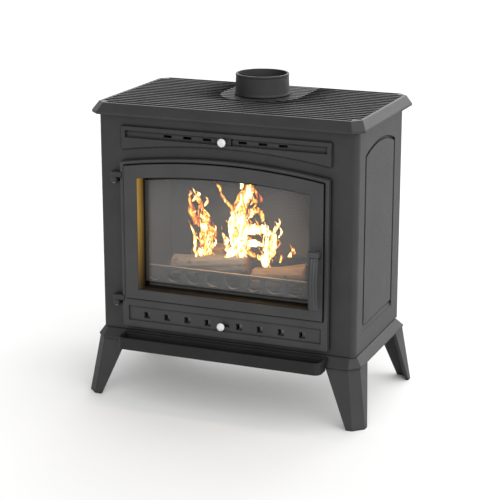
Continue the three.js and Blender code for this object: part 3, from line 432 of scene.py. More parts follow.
# %% Flue collar
low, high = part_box("flue_collar")
collar_centre = ((low.x + high.x) / 2, (low.y + high.y) / 2, 0.0)
foot_radius, foot, rim = (high.x - low.x) / 2 - 0.0002, low.z, high.z
WALL = 0.005
spigot, mouth = foot_radius - 0.0013, foot_radius - 0.0030
collar_profile = rounded_path([
    (mouth - WALL, foot), (foot_radius, foot), (foot_radius, foot + 0.003),
    (spigot, foot + 0.007), (mouth, rim - 0.007), (mouth + 0.0007, rim - 0.0045),
    (mouth + 0.0007, rim - 0.0012), (mouth, rim), (mouth - WALL, rim),
    (mouth - WALL, foot + 0.02), (mouth - WALL, foot)], 0.0016)
collar = from_grid("flue_collar_turned", turned(collar_profile, collar_centre, "z", 128),
                   "body", stove_paint)
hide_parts("flue_collar")
print("collar profile points:", len(collar_profile))

# %% [markdown]
# ## The air knobs
# Each slide is pushed by a turned knob with a domed face and a narrow neck. It is one
# lathe profile too, this time round an axis that points at whoever tends the fire.

# %% Air knobs
def air_knob(node, body):
    """A disc on a neck, its face a shallow dome: depth falls with radius squared."""
    low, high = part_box(node)
    radius, face, back = (high.x - low.x) / 2 - 0.0001, low.y, high.y
    sweep = np.linspace(0, 1, 9)[1:]
    dome = [(radius * 0.86 * s, face + 0.0012 * s ** 2) for s in sweep]
    profile = np.vstack([[(0, face)], dome, rounded_path(
        [dome[-1], (radius, face + 0.0022), (radius, back - 0.003),
         (radius - 0.001, back - 0.002), (0.004, back - 0.002), (0.004, back)], 0.0009),
        [(0, back)]])
    centre = ((low.x + high.x) / 2, 0.0, (low.z + high.z) / 2)
    knob = from_grid(node + "_turned", turned(profile, centre, "y", 64), body,
                     satin_silver)
    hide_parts(node)
    return knob


for node, body in (("upper_air_knob", "upper_air_slide"),
                   ("lower_air_knob", "lower_air_slide")):
    print("turned", air_knob(node, body).name)

# %% [markdown]
# ## The door handle
# The handle is a bowed grip with three flutes down its face, hanging from a capped head
# that turns on the spindle. The grip is one cross-section carried along a bow. The flutes
# are a cosine cut into the front of that section, and they fade out near both ends.

# %% Fluted grip
low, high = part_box("handle")
CAST_BOW, GRIP_DEPTH, GRIP_BOW = 0.015, 0.013, 0.010
HEAD_HEIGHT = 0.0145
FLUTES, FLUTE_DEPTH = 3, 0.0016
grip_half = (high.x - low.x) / 2 - 0.0024
grip_x = (low.x + high.x) / 2
grip_top, grip_foot = high.z - HEAD_HEIGHT, low.z + 0.007
grip_back = low.y + CAST_BOW + GRIP_DEPTH


def superellipse(count, half_width, half_depth, power=3.2):
    """A rounded rectangle: cosine and sine, each raised to 2/power with its sign."""
    angle = np.linspace(0, 2 * np.pi, count, endpoint=False)
    c, s = np.cos(angle), np.sin(angle)
    return (half_width * np.sign(c) * np.abs(c) ** (2 / power),
            half_depth * np.sign(s) * np.abs(s) ** (2 / power))


def fluted_grip(rows=72, count=96):
    """Section carried up the bow; the front is cut by three cosine flutes."""
    along = np.linspace(0, 1, rows)[:, None]
    height = grip_foot + (grip_top - grip_foot) * along
    bow = grip_back - GRIP_BOW * (1 - (2 * along - 1) ** 2) - GRIP_DEPTH / 2
    x, y = superellipse(count, grip_half, GRIP_DEPTH / 2 - 0.0002)
    flute = FLUTE_DEPTH * np.clip(np.cos(x / grip_half * np.pi * FLUTES), 0, 1) * (y < 0) * (
        np.abs(x) < grip_half * 0.92)
    fade = np.clip(np.sin(along * np.pi) * 9, 0, 1)
    body = np.stack([np.broadcast_to(grip_x + x, (rows, count)),
                     bow + y + flute * fade,
                     np.broadcast_to(height, (rows, count))], -1)
    foot_ring, head_ring = body[0] + [0, 0, 0.0012], body[-1]
    foot_cap = shrunk(foot_ring, 0.88) + [0, 0, -0.0011]
    return np.concatenate([
        [shrunk(foot_cap, 0.0)], [foot_cap], [foot_ring],
        body[1:-1], [head_ring], [shrunk(head_ring, 0.0)]])


grip = from_grid("door_handle_grip", fluted_grip(), "handle", handle_paint)
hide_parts("handle")
print("grip faces:", len(grip.data.polygons))

# %% [markdown]
# The head is a plain capped block with rounded edges, so a bevelled box is enough. The
# neck behind it is turned, with a waist, and has a bore for the spindle.

# %% Handle head and neck
def rounded_block(name, lowest, highest, body, material, edge):
    """A cast block: eight corners from two opposite ones, its edges bevelled."""
    mesh = bpy.data.meshes.new(name)
    corners = np.array(np.meshgrid([0, 1], [0, 1], [0, 1], indexing="ij")).reshape(3, -1).T
    points = np.array(lowest) + corners * (np.array(highest) - np.array(lowest))
    mesh.from_pydata(points.tolist(), [], [
        (0, 1, 3, 2), (4, 6, 7, 5), (0, 4, 5, 1), (2, 3, 7, 6), (0, 2, 6, 4), (1, 5, 7, 3)])
    mesh.polygons.foreach_set("use_smooth", np.ones(6, bool))
    mesh.materials.append(material)
    piece = bpy.data.objects.new(name, mesh)
    bpy.context.scene.collection.objects.link(piece)
    bevel = piece.modifiers.new("rounded_arris", "BEVEL")
    bevel.width, bevel.segments = edge, 3
    piece.modifiers.new("flat_faces", "WEIGHTED_NORMAL").weight = FACE_WEIGHT
    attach(piece, body)
    return piece


head_front = grip_back - GRIP_DEPTH - 0.0008
head_back = grip_back + 0.003
rounded_block("door_handle_head", (low.x + 0.0002, head_front, high.z - HEAD_HEIGHT),
              (high.x - 0.0002, head_back, high.z - 0.0001), "handle",
              handle_paint, 0.0018)
spindle_low, spindle_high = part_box("handle_spindle")
spindle = ((spindle_low.x + spindle_high.x) / 2, (spindle_low.z + spindle_high.z) / 2)
NECK, NECK_BORE = 0.0098, 0.0054
neck_profile = rounded_path([
    (NECK_BORE, grip_back + 0.001), (NECK, grip_back + 0.001),
    (NECK * 0.86, grip_back + 0.006), (NECK * 0.86, high.y - 0.004),
    (NECK, high.y - 0.002), (NECK, high.y), (NECK_BORE, high.y),
    (NECK_BORE, grip_back + 0.001)], 0.0012)
from_grid("door_handle_neck", turned(neck_profile, (spindle[0], 0, spindle[1]), "y", 48),
          "handle", handle_paint)
print("handle head and neck made, neck radius in mm:", NECK * 1000)

# %% [markdown]
# ## The arch
# The door, the window and the rope all follow one arch. `arch_loop` walks round a flat
# foot, two upright sides and the arc, as evenly spaced points, and the pieces below are
# carried along that loop.

# %% Arch loop
ARCH = 1.8


def arch_loop(half, foot, apex, corner, spacing=0.006):
    """Points (x, z) round an arched outline, with rounded corners, and their normals."""
    reach = math.asin(half / ARCH)
    spring = apex - ARCH + ARCH * math.cos(reach)
    arc = np.linspace(reach, -reach, 40)
    arc_points = np.stack([ARCH * np.sin(arc), apex - ARCH + ARCH * np.cos(arc)], -1)
    sharp = np.vstack([[(0, foot)], [(half, foot)], [(half, spring)], arc_points[1:-1],
                       [(-half, spring)], [(-half, foot)], [(0, foot)]])
    soft = rounded_path(sharp, corner, 7)
    step = np.linalg.norm(np.diff(soft, axis=0), axis=1)
    run = np.concatenate([[0], np.cumsum(step)])
    count = int(run[-1] / spacing)
    even = np.linspace(0, run[-1], count, endpoint=False)
    loop = np.stack([np.interp(even, run, soft[:, k]) for k in (0, 1)], -1)
    ahead = np.roll(loop, -1, 0) - np.roll(loop, 1, 0)
    ahead /= np.linalg.norm(ahead, axis=1, keepdims=True)
    outward = np.stack([ahead[:, 1], -ahead[:, 0]], -1)
    return loop, outward, even


print("radius of the arch in metres:", ARCH)

# %% [markdown]
# ## The door rope
# A braided glass-fibre rope is glued into a groove on the back of the door and presses on
# the front plate. Its braid comes from two families of strands that wind opposite ways.
# The radius rises and falls where they cross, so the braid is in the shape itself.

# %% Door rope
low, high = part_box("door_rope")
ROPE_HALF = (high.y - low.y) / 2 - 0.0001
ROPE_SIDE, ROPE_INSET, ROPE_TURNS, STRANDS = 0.0043, 0.0046, 150, 3


def braided_rope():
    """A tube along the arch; the radius dips between strands wound left and right."""
    loop, outward, run = arch_loop(high.x - ROPE_INSET, low.z + ROPE_INSET,
                                   high.z - ROPE_INSET, 0.012, 0.0024)
    count = 18
    angle = np.linspace(0, 2 * np.pi, count, endpoint=False)[None, :]
    wind = run[:, None] / run.max() * 2 * np.pi * ROPE_TURNS
    braid = np.maximum(np.cos(angle * STRANDS + wind), np.cos(angle * STRANDS - wind))
    radius = 1 - 0.09 * (1 - braid)
    side = ROPE_SIDE * radius * np.cos(angle)
    depth = ROPE_HALF * radius * np.sin(angle)
    x = loop[:, 0:1] + outward[:, 0:1] * side
    z = loop[:, 1:2] + outward[:, 1:2] * side
    points = np.stack([x, (low.y + high.y) / 2 + depth, z], -1)
    return np.concatenate([points, points[:1]])


def rope_finish():
    """Grey-black yarn: fine fibres in colour and bump, lighter in dusty clouds."""
    material, tree, shader = finish("braided_glass_rope", 0.85, specular=0.3)
    place = add(tree, "ShaderNodeTexCoord").outputs["Object"]
    fibres = noise(tree, place, 1800.0, 3.0, 0.7)
    dusty = noise(tree, place, 60.0, 3.0)
    yarn = ramp(tree, fibres, [(0.3, (0.016, 0.016, 0.016)), (0.75, (0.075, 0.073, 0.070))])
    tree.links.new(blend_colours(tree, sums(tree, "MULTIPLY", dusty, 0.35), yarn,
                           (0.12, 0.115, 0.105, 1.0)), shader.inputs["Base Color"])
    relief(tree, shader, fibres, 0.0002)
    return material


rope = from_grid("door_rope_braided", braided_rope(), "door", rope_finish())
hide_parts("door_rope")
print("rope faces:", len(rope.data.polygons))

# %% [markdown]
# ## The window
# The pane is clear ceramic glass, 4 mm thick, with a black border printed on its outer
# face where it meets the iron. Soot and the bright room give the pane a grey veil, so it
# is part clear and part a smooth dark film that mirrors the room.

# %% Glass and its border
def pane_finish():
    """Mostly clear, mixed with a thin smoky film that carries the gloss."""
    material, tree, film = finish("smoky_glass", 0.09, specular=0.6)
    place = add(tree, "ShaderNodeTexCoord").outputs["Object"]
    smears = noise(tree, place, 7.0, 5.0, 0.6)
    tree.links.new(ramp(tree, smears, [(0.35, (0.115, 0.117, 0.119)),
                                       (0.70, (0.145, 0.146, 0.147))]),
                   film.inputs["Base Color"])
    tree.links.new(spread(tree, smears, 0.06, 0.16), film.inputs["Roughness"])
    clear = add(tree, "ShaderNodeBsdfTransparent").outputs[0]
    blend = add(tree, "ShaderNodeMixShader", _0=0.40, _1=clear,
                _2=film.outputs[0]).outputs[0]
    output = tree.nodes["Material Output"]
    tree.links.new(blend, output.inputs["Surface"])
    return material


nodes["door_glass"].data.materials.clear()
nodes["door_glass"].data.materials.append(pane_finish())

frame_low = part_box("glass_frame")[0]
glass_low, glass_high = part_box("door_glass")
REBATE = 0.007
window_half, window_foot = glass_high.x - REBATE, glass_low.z + REBATE
window_apex = glass_high.z - REBATE
BORDER, UNDER_FRAME = 0.014, 0.006


def printed_border():
    """A flat ring on the pane's outer face, from the frame's edge BORDER inwards."""
    outer, outward, _ = arch_loop(window_half + UNDER_FRAME, window_foot - UNDER_FRAME,
                                  window_apex + UNDER_FRAME, 0.004, 0.008)
    width = np.array([0.0, 0.0, 1.0, 1.0]) * (BORDER + UNDER_FRAME)
    lift = np.array([0.0, 0.00016, 0.00016, 0.0])
    x = outer[:, 0:1] - outward[:, 0:1] * width
    z = outer[:, 1:2] - outward[:, 1:2] * width
    y = np.broadcast_to(glass_low.y - 0.00004 - lift, x.shape)
    points = np.stack([x, y, z], -1)
    return np.concatenate([points, points[:1]])


def enamel_finish():
    """Black fired enamel with a faint mottle in colour and bump."""
    material, tree, shader = finish("black_enamel", 0.35, specular=0.35)
    place = add(tree, "ShaderNodeTexCoord").outputs["Object"]
    mottle = noise(tree, place, 300.0, 3.0)
    tree.links.new(ramp(tree, mottle, [(0.35, (0.004, 0.004, 0.004)),
                                       (0.75, (0.014, 0.013, 0.012))]),
                   shader.inputs["Base Color"])
    relief(tree, shader, mottle, 0.00004)
    return material


from_grid("glass_border", printed_border(), "door", enamel_finish())
print("border width in mm:", BORDER * 1000)

# %% [markdown]
# ## Painted firelight in the window's sleeve
# The inside of the sleeve catches the fire, gold on the side that faces it and brown along
# the foot. That light is painted: a thin skin carried round the sleeve glows by itself.
# Its painted glow follows position: strong on the left side, rising from brown to gold,
# faint and brown along the foot, and weaker towards the glass.

# %% Sleeve skin with painted firelight
def sleeve_glow_skin():
    """A thin skin 0.3 mm inside the sleeve, from its front edge to the glass."""
    loop, outward, _ = arch_loop(window_half, window_foot, window_apex, 0.0015, 0.006)
    depth = np.array([frame_low.y + 0.003, frame_low.y + 0.003, glass_low.y - 0.0004,
                      glass_low.y - 0.0004])
    inward = np.array([0.00005, 0.0003, 0.0003, 0.00005])
    x = loop[:, 0:1] - outward[:, 0:1] * inward
    z = loop[:, 1:2] - outward[:, 1:2] * inward
    points = np.stack([x, np.broadcast_to(depth, x.shape), z], -1)
    return np.concatenate([points, points[:1]])


def firelit_finish():
    """Dark iron with a painted warm glow: bright where x is far left, brown at the foot."""
    material, tree, shader = finish("firelit_reveal", 0.5, specular=0.12)
    place = add(tree, "ShaderNodeTexCoord").outputs["Object"]
    split = add(tree, "ShaderNodeSeparateXYZ", _0=place)
    cloudy = noise(tree, place, 40.0, 4.0)
    tree.links.new(ramp(tree, cloudy, [(0.3, (0.006, 0.005, 0.004)),
                                       (0.7, (0.014, 0.011, 0.008))]),
                   shader.inputs["Base Color"])
    left = add(tree, "ShaderNodeMapRange", Value=split.outputs["X"],
               From_Min=-window_half + 0.004, From_Max=-window_half + 0.001).outputs[0]
    rise = add(tree, "ShaderNodeMapRange", Value=split.outputs["Z"],
               From_Min=window_foot, From_Max=window_foot + 0.20).outputs[0]
    deep = add(tree, "ShaderNodeMapRange", Value=split.outputs["Y"],
               From_Min=glass_low.y, From_Max=frame_low.y, To_Min=0.12).outputs[0]
    glow = ramp(tree, rise, [(0.0, (0.035, 0.022, 0.010)), (0.5, (0.25, 0.15, 0.030)),
                             (1.0, (0.44, 0.265, 0.055))])
    low_glow = add(tree, "ShaderNodeMapRange", Value=split.outputs["Z"],
                   From_Min=window_foot + 0.002, From_Max=window_foot).outputs[0]
    sides = blend_colours(tree, left, (0.0, 0.0, 0.0, 1.0), glow)
    both = blend_colours(tree, sums(tree, "MULTIPLY", low_glow, spread(tree, cloudy, 0.1, 0.55)),
                   sides, (0.030, 0.018, 0.010, 1.0))
    # Painted firelight: the skin glows by emission, though it is no lamp.
    tree.links.new(both, shader.inputs["Emission Color"])
    tree.links.new(sums(tree, "MULTIPLY", deep, 0.9), shader.inputs["Emission Strength"])
    relief(tree, shader, cloudy, 0.0003)
    return material


glow_skin = from_grid("window_sleeve_glow_skin", sleeve_glow_skin(), "door", firelit_finish())
print("lining faces:", len(glow_skin.data.polygons))

# %% [markdown]
# ## Split logs
# A split log is a rough wedge: a few flat sides with softened corners and fibres running
# its whole length. The section is a rounded rectangle pushed in and out by slow waves,
# with fine ridges along the grain, and it is carried from one end to the other. The two
# cut ends are closed flat, a little smaller than the section behind them.

# %% Log shape
CUT, CAP_SHARES = 0.0015, (0.96, 0.6, 0.25, 0.0)
LOG_ROWS, LOG_COLUMNS = 70, 72


def split_log(start, end, half_width, half_height, twist, seed):
    """Section times slow waves along and round, plus ridges that depend on angle only."""
    rng = np.random.default_rng(seed)
    start, end = np.array(start), np.array(end)
    along = np.linspace(0, 1, LOG_ROWS)[:, None]
    axis = (end - start) / np.linalg.norm(end - start)
    side = np.cross(axis, [0, 0, 1.0])
    side /= np.linalg.norm(side)
    lift = np.cross(side, axis)
    angle = np.linspace(0, 2 * np.pi, LOG_COLUMNS, endpoint=False)[None, :]
    width, height = superellipse(LOG_COLUMNS, half_width, half_height, 2.8)
    waves = sum(0.05 / k * np.cos(k * angle + rng.uniform(0, 6.3)
                                  + along * rng.uniform(-2.0, 2.0)) for k in (1, 2, 3, 5))
    ridges = sum(0.012 * np.cos(k * angle + rng.uniform(0, 6.3)
                                + along * rng.uniform(-1.5, 1.5)) for k in (11, 17, 23))
    swell = 1 + waves + ridges + 0.05 * np.sin(along * rng.uniform(4, 7) + seed)
    turn = twist * (along - 0.5)
    u = (width * np.cos(turn) - height * np.sin(turn)) * swell
    v = (width * np.sin(turn) + height * np.cos(turn)) * swell
    centre = start + (end - start) * along
    slant = u * 0.25 * (np.abs(along - 0.5) > 0.49)
    points = centre[:, None, :] + u[..., None] * side + v[..., None] * lift
    points = points + slant[..., None] * axis
    return np.concatenate([
        [shrunk(points[0], share) - axis * CUT for share in CAP_SHARES[::-1]], points,
        [shrunk(points[-1], share) + axis * CUT for share in CAP_SHARES]])


print("log shape ready, cut ends stand out by mm:", CUT * 1000)

# %% [markdown]
# Beech splits pale and pink, greys where it has lain outside, and chars black in patches.
# The fibres follow the grid's own map, so they run along the log however it lies. The cut
# ends are told apart by the same map and get a finer grain.

# %% Log finishes
def wood_finish(name, pale, brown, char, char_share, end):
    """Fibres streaked along the log by the grid's own map, charred in clouds."""
    material, tree, shader = finish(name, 0.85, specular=0.2)
    chart = add(tree, "ShaderNodeUVMap", {"uv_map": "along_and_round"}).outputs["UV"]
    place = add(tree, "ShaderNodeTexCoord").outputs["Object"]
    stretched = add(tree, "ShaderNodeMapping", Vector=chart, Scale=(34.0, 1.3, 1.0))
    fibres = noise(tree, stretched.outputs["Vector"], 4.0, 6.0, 0.65)
    knots = noise(tree, place, 38.0, 4.0)
    wood = ramp(tree, fibres, [(0.30, tuple(c * 0.45 for c in brown)), (0.42, brown),
                               (0.60, pale)])
    v = add(tree, "ShaderNodeSeparateXYZ", _0=chart).outputs["Y"]
    from_middle = sums(tree, "ABSOLUTE", sums(tree, "SUBTRACT", v, 0.5))
    grid_rows = LOG_ROWS + 2 * len(CAP_SHARES)
    at_end = sums(tree, "GREATER_THAN", from_middle,
                  0.5 - (len(CAP_SHARES) + 0.5) / (grid_rows - 1))
    rings = noise(tree, place, 420.0, 2.0)
    grain = ramp(tree, rings, [(0.3, tuple(c * 0.4 for c in end)), (0.7, end)])
    cut = blend_colours(tree, at_end, wood, grain)
    burnt = add(tree, "ShaderNodeMapRange", Value=knots, From_Min=0.62 - char_share,
                From_Max=0.70 - char_share).outputs[0]
    tree.links.new(blend_colours(tree, burnt, cut, (*char, 1.0)), shader.inputs["Base Color"])
    relief(tree, shader, sums(tree, "ADD", fibres, sums(tree, "MULTIPLY", burnt, -0.4)),
           0.0022)
    return material


fresh_wood = wood_finish("split_beech", (0.52, 0.34, 0.19), (0.30, 0.17, 0.085),
                         (0.05, 0.035, 0.028), 0.02, (0.50, 0.24, 0.09))
grey_wood = wood_finish("weathered_beech", (0.44, 0.37, 0.31), (0.25, 0.20, 0.16),
                        (0.045, 0.038, 0.034), 0.03, (0.48, 0.22, 0.08))
charred = wood_finish("charred_log", (0.12, 0.07, 0.045), (0.05, 0.032, 0.024),
                      (0.012, 0.011, 0.010), 0.22, (0.10, 0.05, 0.03))
print("wood finishes:", fresh_wood.name, grey_wood.name, charred.name)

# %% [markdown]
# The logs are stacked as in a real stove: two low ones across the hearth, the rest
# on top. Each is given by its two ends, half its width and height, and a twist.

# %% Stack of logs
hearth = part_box("hearth_plate")[1].z
guard_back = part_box("log_guard")[1].y
guard_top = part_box("log_guard")[1].z
first_y = guard_back + 0.045
LOGS = [
    ("log_front_left", (-0.200, first_y, guard_top - 0.008),
     (0.020, first_y + 0.010, guard_top + 0.010), 0.036, 0.026, 0.25, 3, grey_wood),
    ("log_front_right", (0.042, first_y + 0.004, guard_top - 0.022),
     (0.196, first_y - 0.002, guard_top + 0.000), 0.038, 0.026, -0.3, 8, fresh_wood),
    ("log_back_left", (-0.175, first_y + 0.088, guard_top + 0.008),
     (-0.010, first_y + 0.078, guard_top + 0.020), 0.030, 0.022, 0.5, 5, fresh_wood),
    ("log_low_front", (-0.215, first_y + 0.004, hearth + 0.036),
     (0.212, first_y + 0.002, hearth + 0.036), 0.036, 0.033, 0.4, 12, charred),
    ("log_low_back", (-0.190, first_y + 0.096, hearth + 0.038),
     (0.205, first_y + 0.090, hearth + 0.040), 0.038, 0.034, 0.3, 21, charred),
    ("log_back_right", (0.010, first_y + 0.086, guard_top - 0.012),
     (0.185, first_y + 0.094, guard_top + 0.004), 0.032, 0.024, 0.2, 30, charred),
]
for name, start, end, half_width, half_height, twist, seed, material in LOGS:
    from_grid(name, split_log(start, end, half_width, half_height, twist, seed),
              "body", material)
print("logs stacked:", len(LOGS))

# %% [markdown]
# ## The bed of ash and embers
# Under the logs lies a low heap. It is a height over the hearth: a smooth mound that
# falls to nothing at its rim, roughened by sums of waves, so it needs no simulation.

# %% Ash bed
def ash_bed(rows=90, count=120):
    """Rings from the middle outwards: a mound of 18 mm with rough sine noise on it."""
    rng = np.random.default_rng(4)
    share = np.linspace(0, 1, rows)[:, None]
    angle = np.linspace(0, 2 * np.pi, count, endpoint=False)[None, :]
    edge = 1 + 0.05 * np.cos(3 * angle + 1) + 0.03 * np.cos(7 * angle)
    x = 0.245 * share * edge * np.cos(angle)
    y = (guard_back + 0.132) + 0.112 * share * edge * np.sin(angle)
    rough = sum(rng.uniform(0.3, 1) * np.sin(x * f + rng.uniform(0, 6)) *
                np.sin(y * f * 1.1 + rng.uniform(0, 6)) / (f / 60)
                for f in rng.uniform(60, 700, 26))
    z = hearth + 0.0004 + (1 - share ** 2) ** 0.8 * (0.018 + 0.0035 * rough)
    top = np.stack([x, y, np.maximum(z, hearth + 0.0004)], -1)
    top[0] = top[0].mean(0)
    under = top[-1:] * [1, 1, 0] + [0, 0, hearth + 0.0002]
    middle = np.repeat(under.mean(1, keepdims=True), count, 1)
    return np.concatenate([top, under, middle])


def ember_finish():
    """Pale ash; where cells meet, a glow shows in some places only."""
    material, tree, shader = finish("ash_and_embers", 0.95, specular=0.1)
    place = add(tree, "ShaderNodeTexCoord").outputs["Object"]
    cells = add(tree, "ShaderNodeTexVoronoi", {"feature": "DISTANCE_TO_EDGE"},
                Vector=place, Scale=110.0).outputs["Distance"]
    clouds = noise(tree, place, 22.0, 4.0)
    tree.links.new(ramp(tree, noise(tree, place, 180.0, 4.0), [
        (0.3, (0.05, 0.045, 0.042)), (0.7, (0.26, 0.24, 0.22))]),
        shader.inputs["Base Color"])
    cracks = add(tree, "ShaderNodeMapRange", Value=cells, From_Min=0.09,
                 From_Max=0.0).outputs[0]
    hot = add(tree, "ShaderNodeMapRange", Value=clouds, From_Min=0.48,
              From_Max=0.62).outputs[0]
    shader.inputs["Emission Color"].default_value = (1.0, 0.24, 0.03, 1.0)
    tree.links.new(sums(tree, "MULTIPLY", sums(tree, "MULTIPLY", cracks, hot), 3.0),
                   shader.inputs["Emission Strength"])
    relief(tree, shader, cells, 0.003)
    return material


from_grid("ash_bed", ash_bed(), "body", ember_finish())
print("ash bed made")

# %% [markdown]
# ## The fire
# A flame is a glowing skin with ragged holes. Each tongue is a lens-shaped tube carried up
# a bent spine, wide near the foot and drawn out to a point. Its shader is all glow: white
# and yellow low down and in the middle, orange then red at the edge and tip. Noise that is
# drawn out upwards eats into the edges, so the outline breaks into wisps. `slope` and `heat`
# set how soon the glow turns from red to white, and `shift` moves the noise.

# %% Flame finish
def flame_finish(name, slope, heat, shift):
    """Glow and holes from the tongue's own map plus noise drawn out upwards."""
    material = bpy.data.materials.new(name)
    material.use_nodes = True
    tree = material.node_tree
    tree.nodes.remove(tree.nodes["Principled BSDF"])
    chart = add(tree, "ShaderNodeUVMap", {"uv_map": "along_and_round"}).outputs["UV"]
    split = add(tree, "ShaderNodeSeparateXYZ", _0=chart)
    place = add(tree, "ShaderNodeTexCoord").outputs["Object"]
    drawn = add(tree, "ShaderNodeMapping", Vector=place, Scale=(1.0, 1.0, 0.36),
                Location=(shift, shift * 0.37, shift)).outputs["Vector"]
    lick = add(tree, "ShaderNodeTexNoise", Vector=drawn, Scale=47.0, Detail=4.0,
               Roughness=0.5, Distortion=1.5).outputs["Fac"]
    wisp = add(tree, "ShaderNodeTexNoise", Vector=drawn, Scale=120.0, Detail=4.0,
               Roughness=0.6, Distortion=0.8).outputs["Fac"]
    angle = sums(tree, "MULTIPLY", split.outputs["X"], 2 * math.pi)
    edge = sums(tree, "ABSOLUTE", sums(tree, "COSINE", angle))
    middle = sums(tree, "SUBTRACT", 1.0, sums(tree, "POWER", edge, 2.0))
    tip = sums(tree, "POWER", split.outputs["Y"], 2.2)
    torn = sums(tree, "ADD", sums(tree, "MULTIPLY_ADD", lick, 5.4, -2.7),
                sums(tree, "MULTIPLY_ADD", wisp, 0.6, -0.3))
    shape = sums(tree, "ADD", torn, sums(
        tree, "SUBTRACT", sums(tree, "MULTIPLY_ADD", middle, 1.05, -0.34),
        sums(tree, "MULTIPLY", tip, 0.75)))
    hot = sums(tree, "MULTIPLY_ADD", shape, slope, heat)
    colour = ramp(tree, hot, [
        (0.05, (0.50, 0.05, 0.010)), (0.18, (0.90, 0.18, 0.018)), (0.34, (1.0, 0.38, 0.035)),
        (0.54, (1.0, 0.66, 0.11)), (0.84, (1.0, 0.93, 0.55))])
    power = add(tree, "ShaderNodeMapRange", Value=hot, From_Min=0.0, From_Max=0.70,
                To_Min=1.0, To_Max=7.0).outputs[0]
    glow = add(tree, "ShaderNodeEmission", Color=colour, Strength=power).outputs[0]
    solid = add(tree, "ShaderNodeMapRange", {"interpolation_type": "SMOOTHSTEP"},
                Value=shape, From_Min=0.0, From_Max=0.14).outputs[0]
    clear = add(tree, "ShaderNodeBsdfTransparent").outputs[0]
    mixed = add(tree, "ShaderNodeMixShader", _0=solid, _1=clear, _2=glow).outputs[0]
    tree.links.new(mixed, tree.nodes["Material Output"].inputs["Surface"])
    return material


hot_flame = flame_finish("flame_white_hot", 1.05, 0.12, 1.7)
warm_flame = flame_finish("flame_yellow", 0.72, 0.03, 4.1)
cool_flame = flame_finish("flame_orange", 0.42, -0.02, 7.3)
print("flame finishes:", hot_flame.name, warm_flame.name, cool_flame.name)

# %% Flame tongue shape
def tongue(spine, half_width, depth, y, rows=64, count=28):
    """A lens section up a smooth spine; width is sin(pi t^0.62)^0.8, narrow at the tip."""
    spine = np.array(spine, float)
    knot = np.linspace(0, 1, len(spine))
    t = np.linspace(0, 1, rows)
    fit = np.polyfit(knot, spine, min(3, len(spine) - 1))
    centre = sum(fit[k] * t[:, None] ** (len(fit) - 1 - k) for k in range(len(fit)))
    ahead = np.gradient(centre, axis=0)
    ahead /= np.linalg.norm(ahead, axis=1, keepdims=True)
    side = np.stack([ahead[:, 1], -ahead[:, 0]], -1)
    width = half_width * (np.sin(np.pi * t ** 0.62) ** 0.8 * 0.92 + 0.10 * (1 - t)) * (
        1 - t ** 6)
    angle = np.linspace(0, 2 * np.pi, count, endpoint=False)
    reach = width[:, None] * np.cos(angle)
    x = centre[:, 0:1] + reach * side[:, 0:1]
    z = centre[:, 1:2] + reach * side[:, 1:2]
    thick = depth * width[:, None] * np.sin(angle)
    sway = 0.012 * np.sin(t * 5 + y * 90)[:, None]
    points = np.stack([x, y + thick + sway, z], -1)
    return np.concatenate([points[:1].mean(1, keepdims=True).repeat(count, 1), points,
                           points[-1:].mean(1, keepdims=True).repeat(count, 1)])


print("tongue shape ready")

# %% [markdown]
# The tongues are set out over the logs, like a painter's strokes: a spine of (x, z)
# points in metres, a half width, how many LAYERs it stands behind the first log's middle,
# and its heat. A plain fit of a cubic through the points makes each spine smooth.

# %% Flame tongues
flame_y, LAYER, TONGUE_DEPTH = first_y - 0.002, 0.003, 0.35
TONGUES = [
    ("left_foot", [(-0.128, 0.388), (-0.104, 0.408), (-0.066, 0.400)], 0.014, 0, hot_flame),
    ("left_body", [(-0.098, 0.392), (-0.104, 0.450), (-0.112, 0.520), (-0.142, 0.592)],
     0.026, 2, warm_flame),
    ("left_edge", [(-0.128, 0.402), (-0.138, 0.445), (-0.152, 0.505)], 0.006, -2, warm_flame),
    ("left_tip", [(-0.128, 0.470), (-0.150, 0.520), (-0.138, 0.585)], 0.014, 4, cool_flame),
    ("left_inner", [(-0.092, 0.480), (-0.076, 0.455), (-0.066, 0.420)], 0.006, 1,
     cool_flame),
    ("middle_lick", [(-0.044, 0.408), (-0.050, 0.445), (-0.052, 0.488)], 0.009, 3,
     hot_flame),
    ("strand", [(-0.020, 0.470), (-0.030, 0.525), (-0.052, 0.565), (-0.056, 0.602)],
     0.008, 5, warm_flame),
    ("main_foot", [(-0.040, 0.398), (-0.006, 0.414), (0.030, 0.404)], 0.016, -1, hot_flame),
    ("main_left", [(-0.026, 0.396), (-0.022, 0.440), (-0.026, 0.490), (-0.010, 0.530)],
     0.017, 2, hot_flame),
    ("main_column", [(0.004, 0.398), (0.000, 0.460), (0.004, 0.540), (0.020, 0.636)],
     0.027, 0, hot_flame),
    ("main_crown", [(0.006, 0.520), (0.012, 0.560), (0.026, 0.600), (0.034, 0.632)],
     0.023, -3, warm_flame),
    ("crown_edge", [(0.036, 0.560), (0.052, 0.570), (0.036, 0.618)], 0.010, 2, cool_flame),
    ("curl", [(0.018, 0.505), (0.046, 0.530), (0.066, 0.512), (0.070, 0.488)], 0.010, 4,
     warm_flame),
    ("arm", [(0.012, 0.470), (0.048, 0.480), (0.086, 0.478), (0.116, 0.500)], 0.017, 1,
     hot_flame),
    ("right_body", [(0.082, 0.384), (0.086, 0.425), (0.096, 0.465), (0.110, 0.508)],
     0.020, -2, hot_flame),
    ("right_low", [(0.020, 0.436), (0.048, 0.412), (0.078, 0.398), (0.096, 0.378)], 0.010,
     -4, warm_flame),
    ("right_mid", [(0.018, 0.446), (0.052, 0.440), (0.088, 0.446)], 0.011, 0, hot_flame),
    ("small_red", [(0.114, 0.394), (0.118, 0.412), (0.116, 0.436)], 0.005, 2, cool_flame),
    ("small_lick", [(0.136, 0.412), (0.150, 0.432), (0.146, 0.462)], 0.006, 3, warm_flame),
    ("small_lick_low", [(0.140, 0.410), (0.156, 0.428), (0.160, 0.446)], 0.004, 3,
     warm_flame),
]
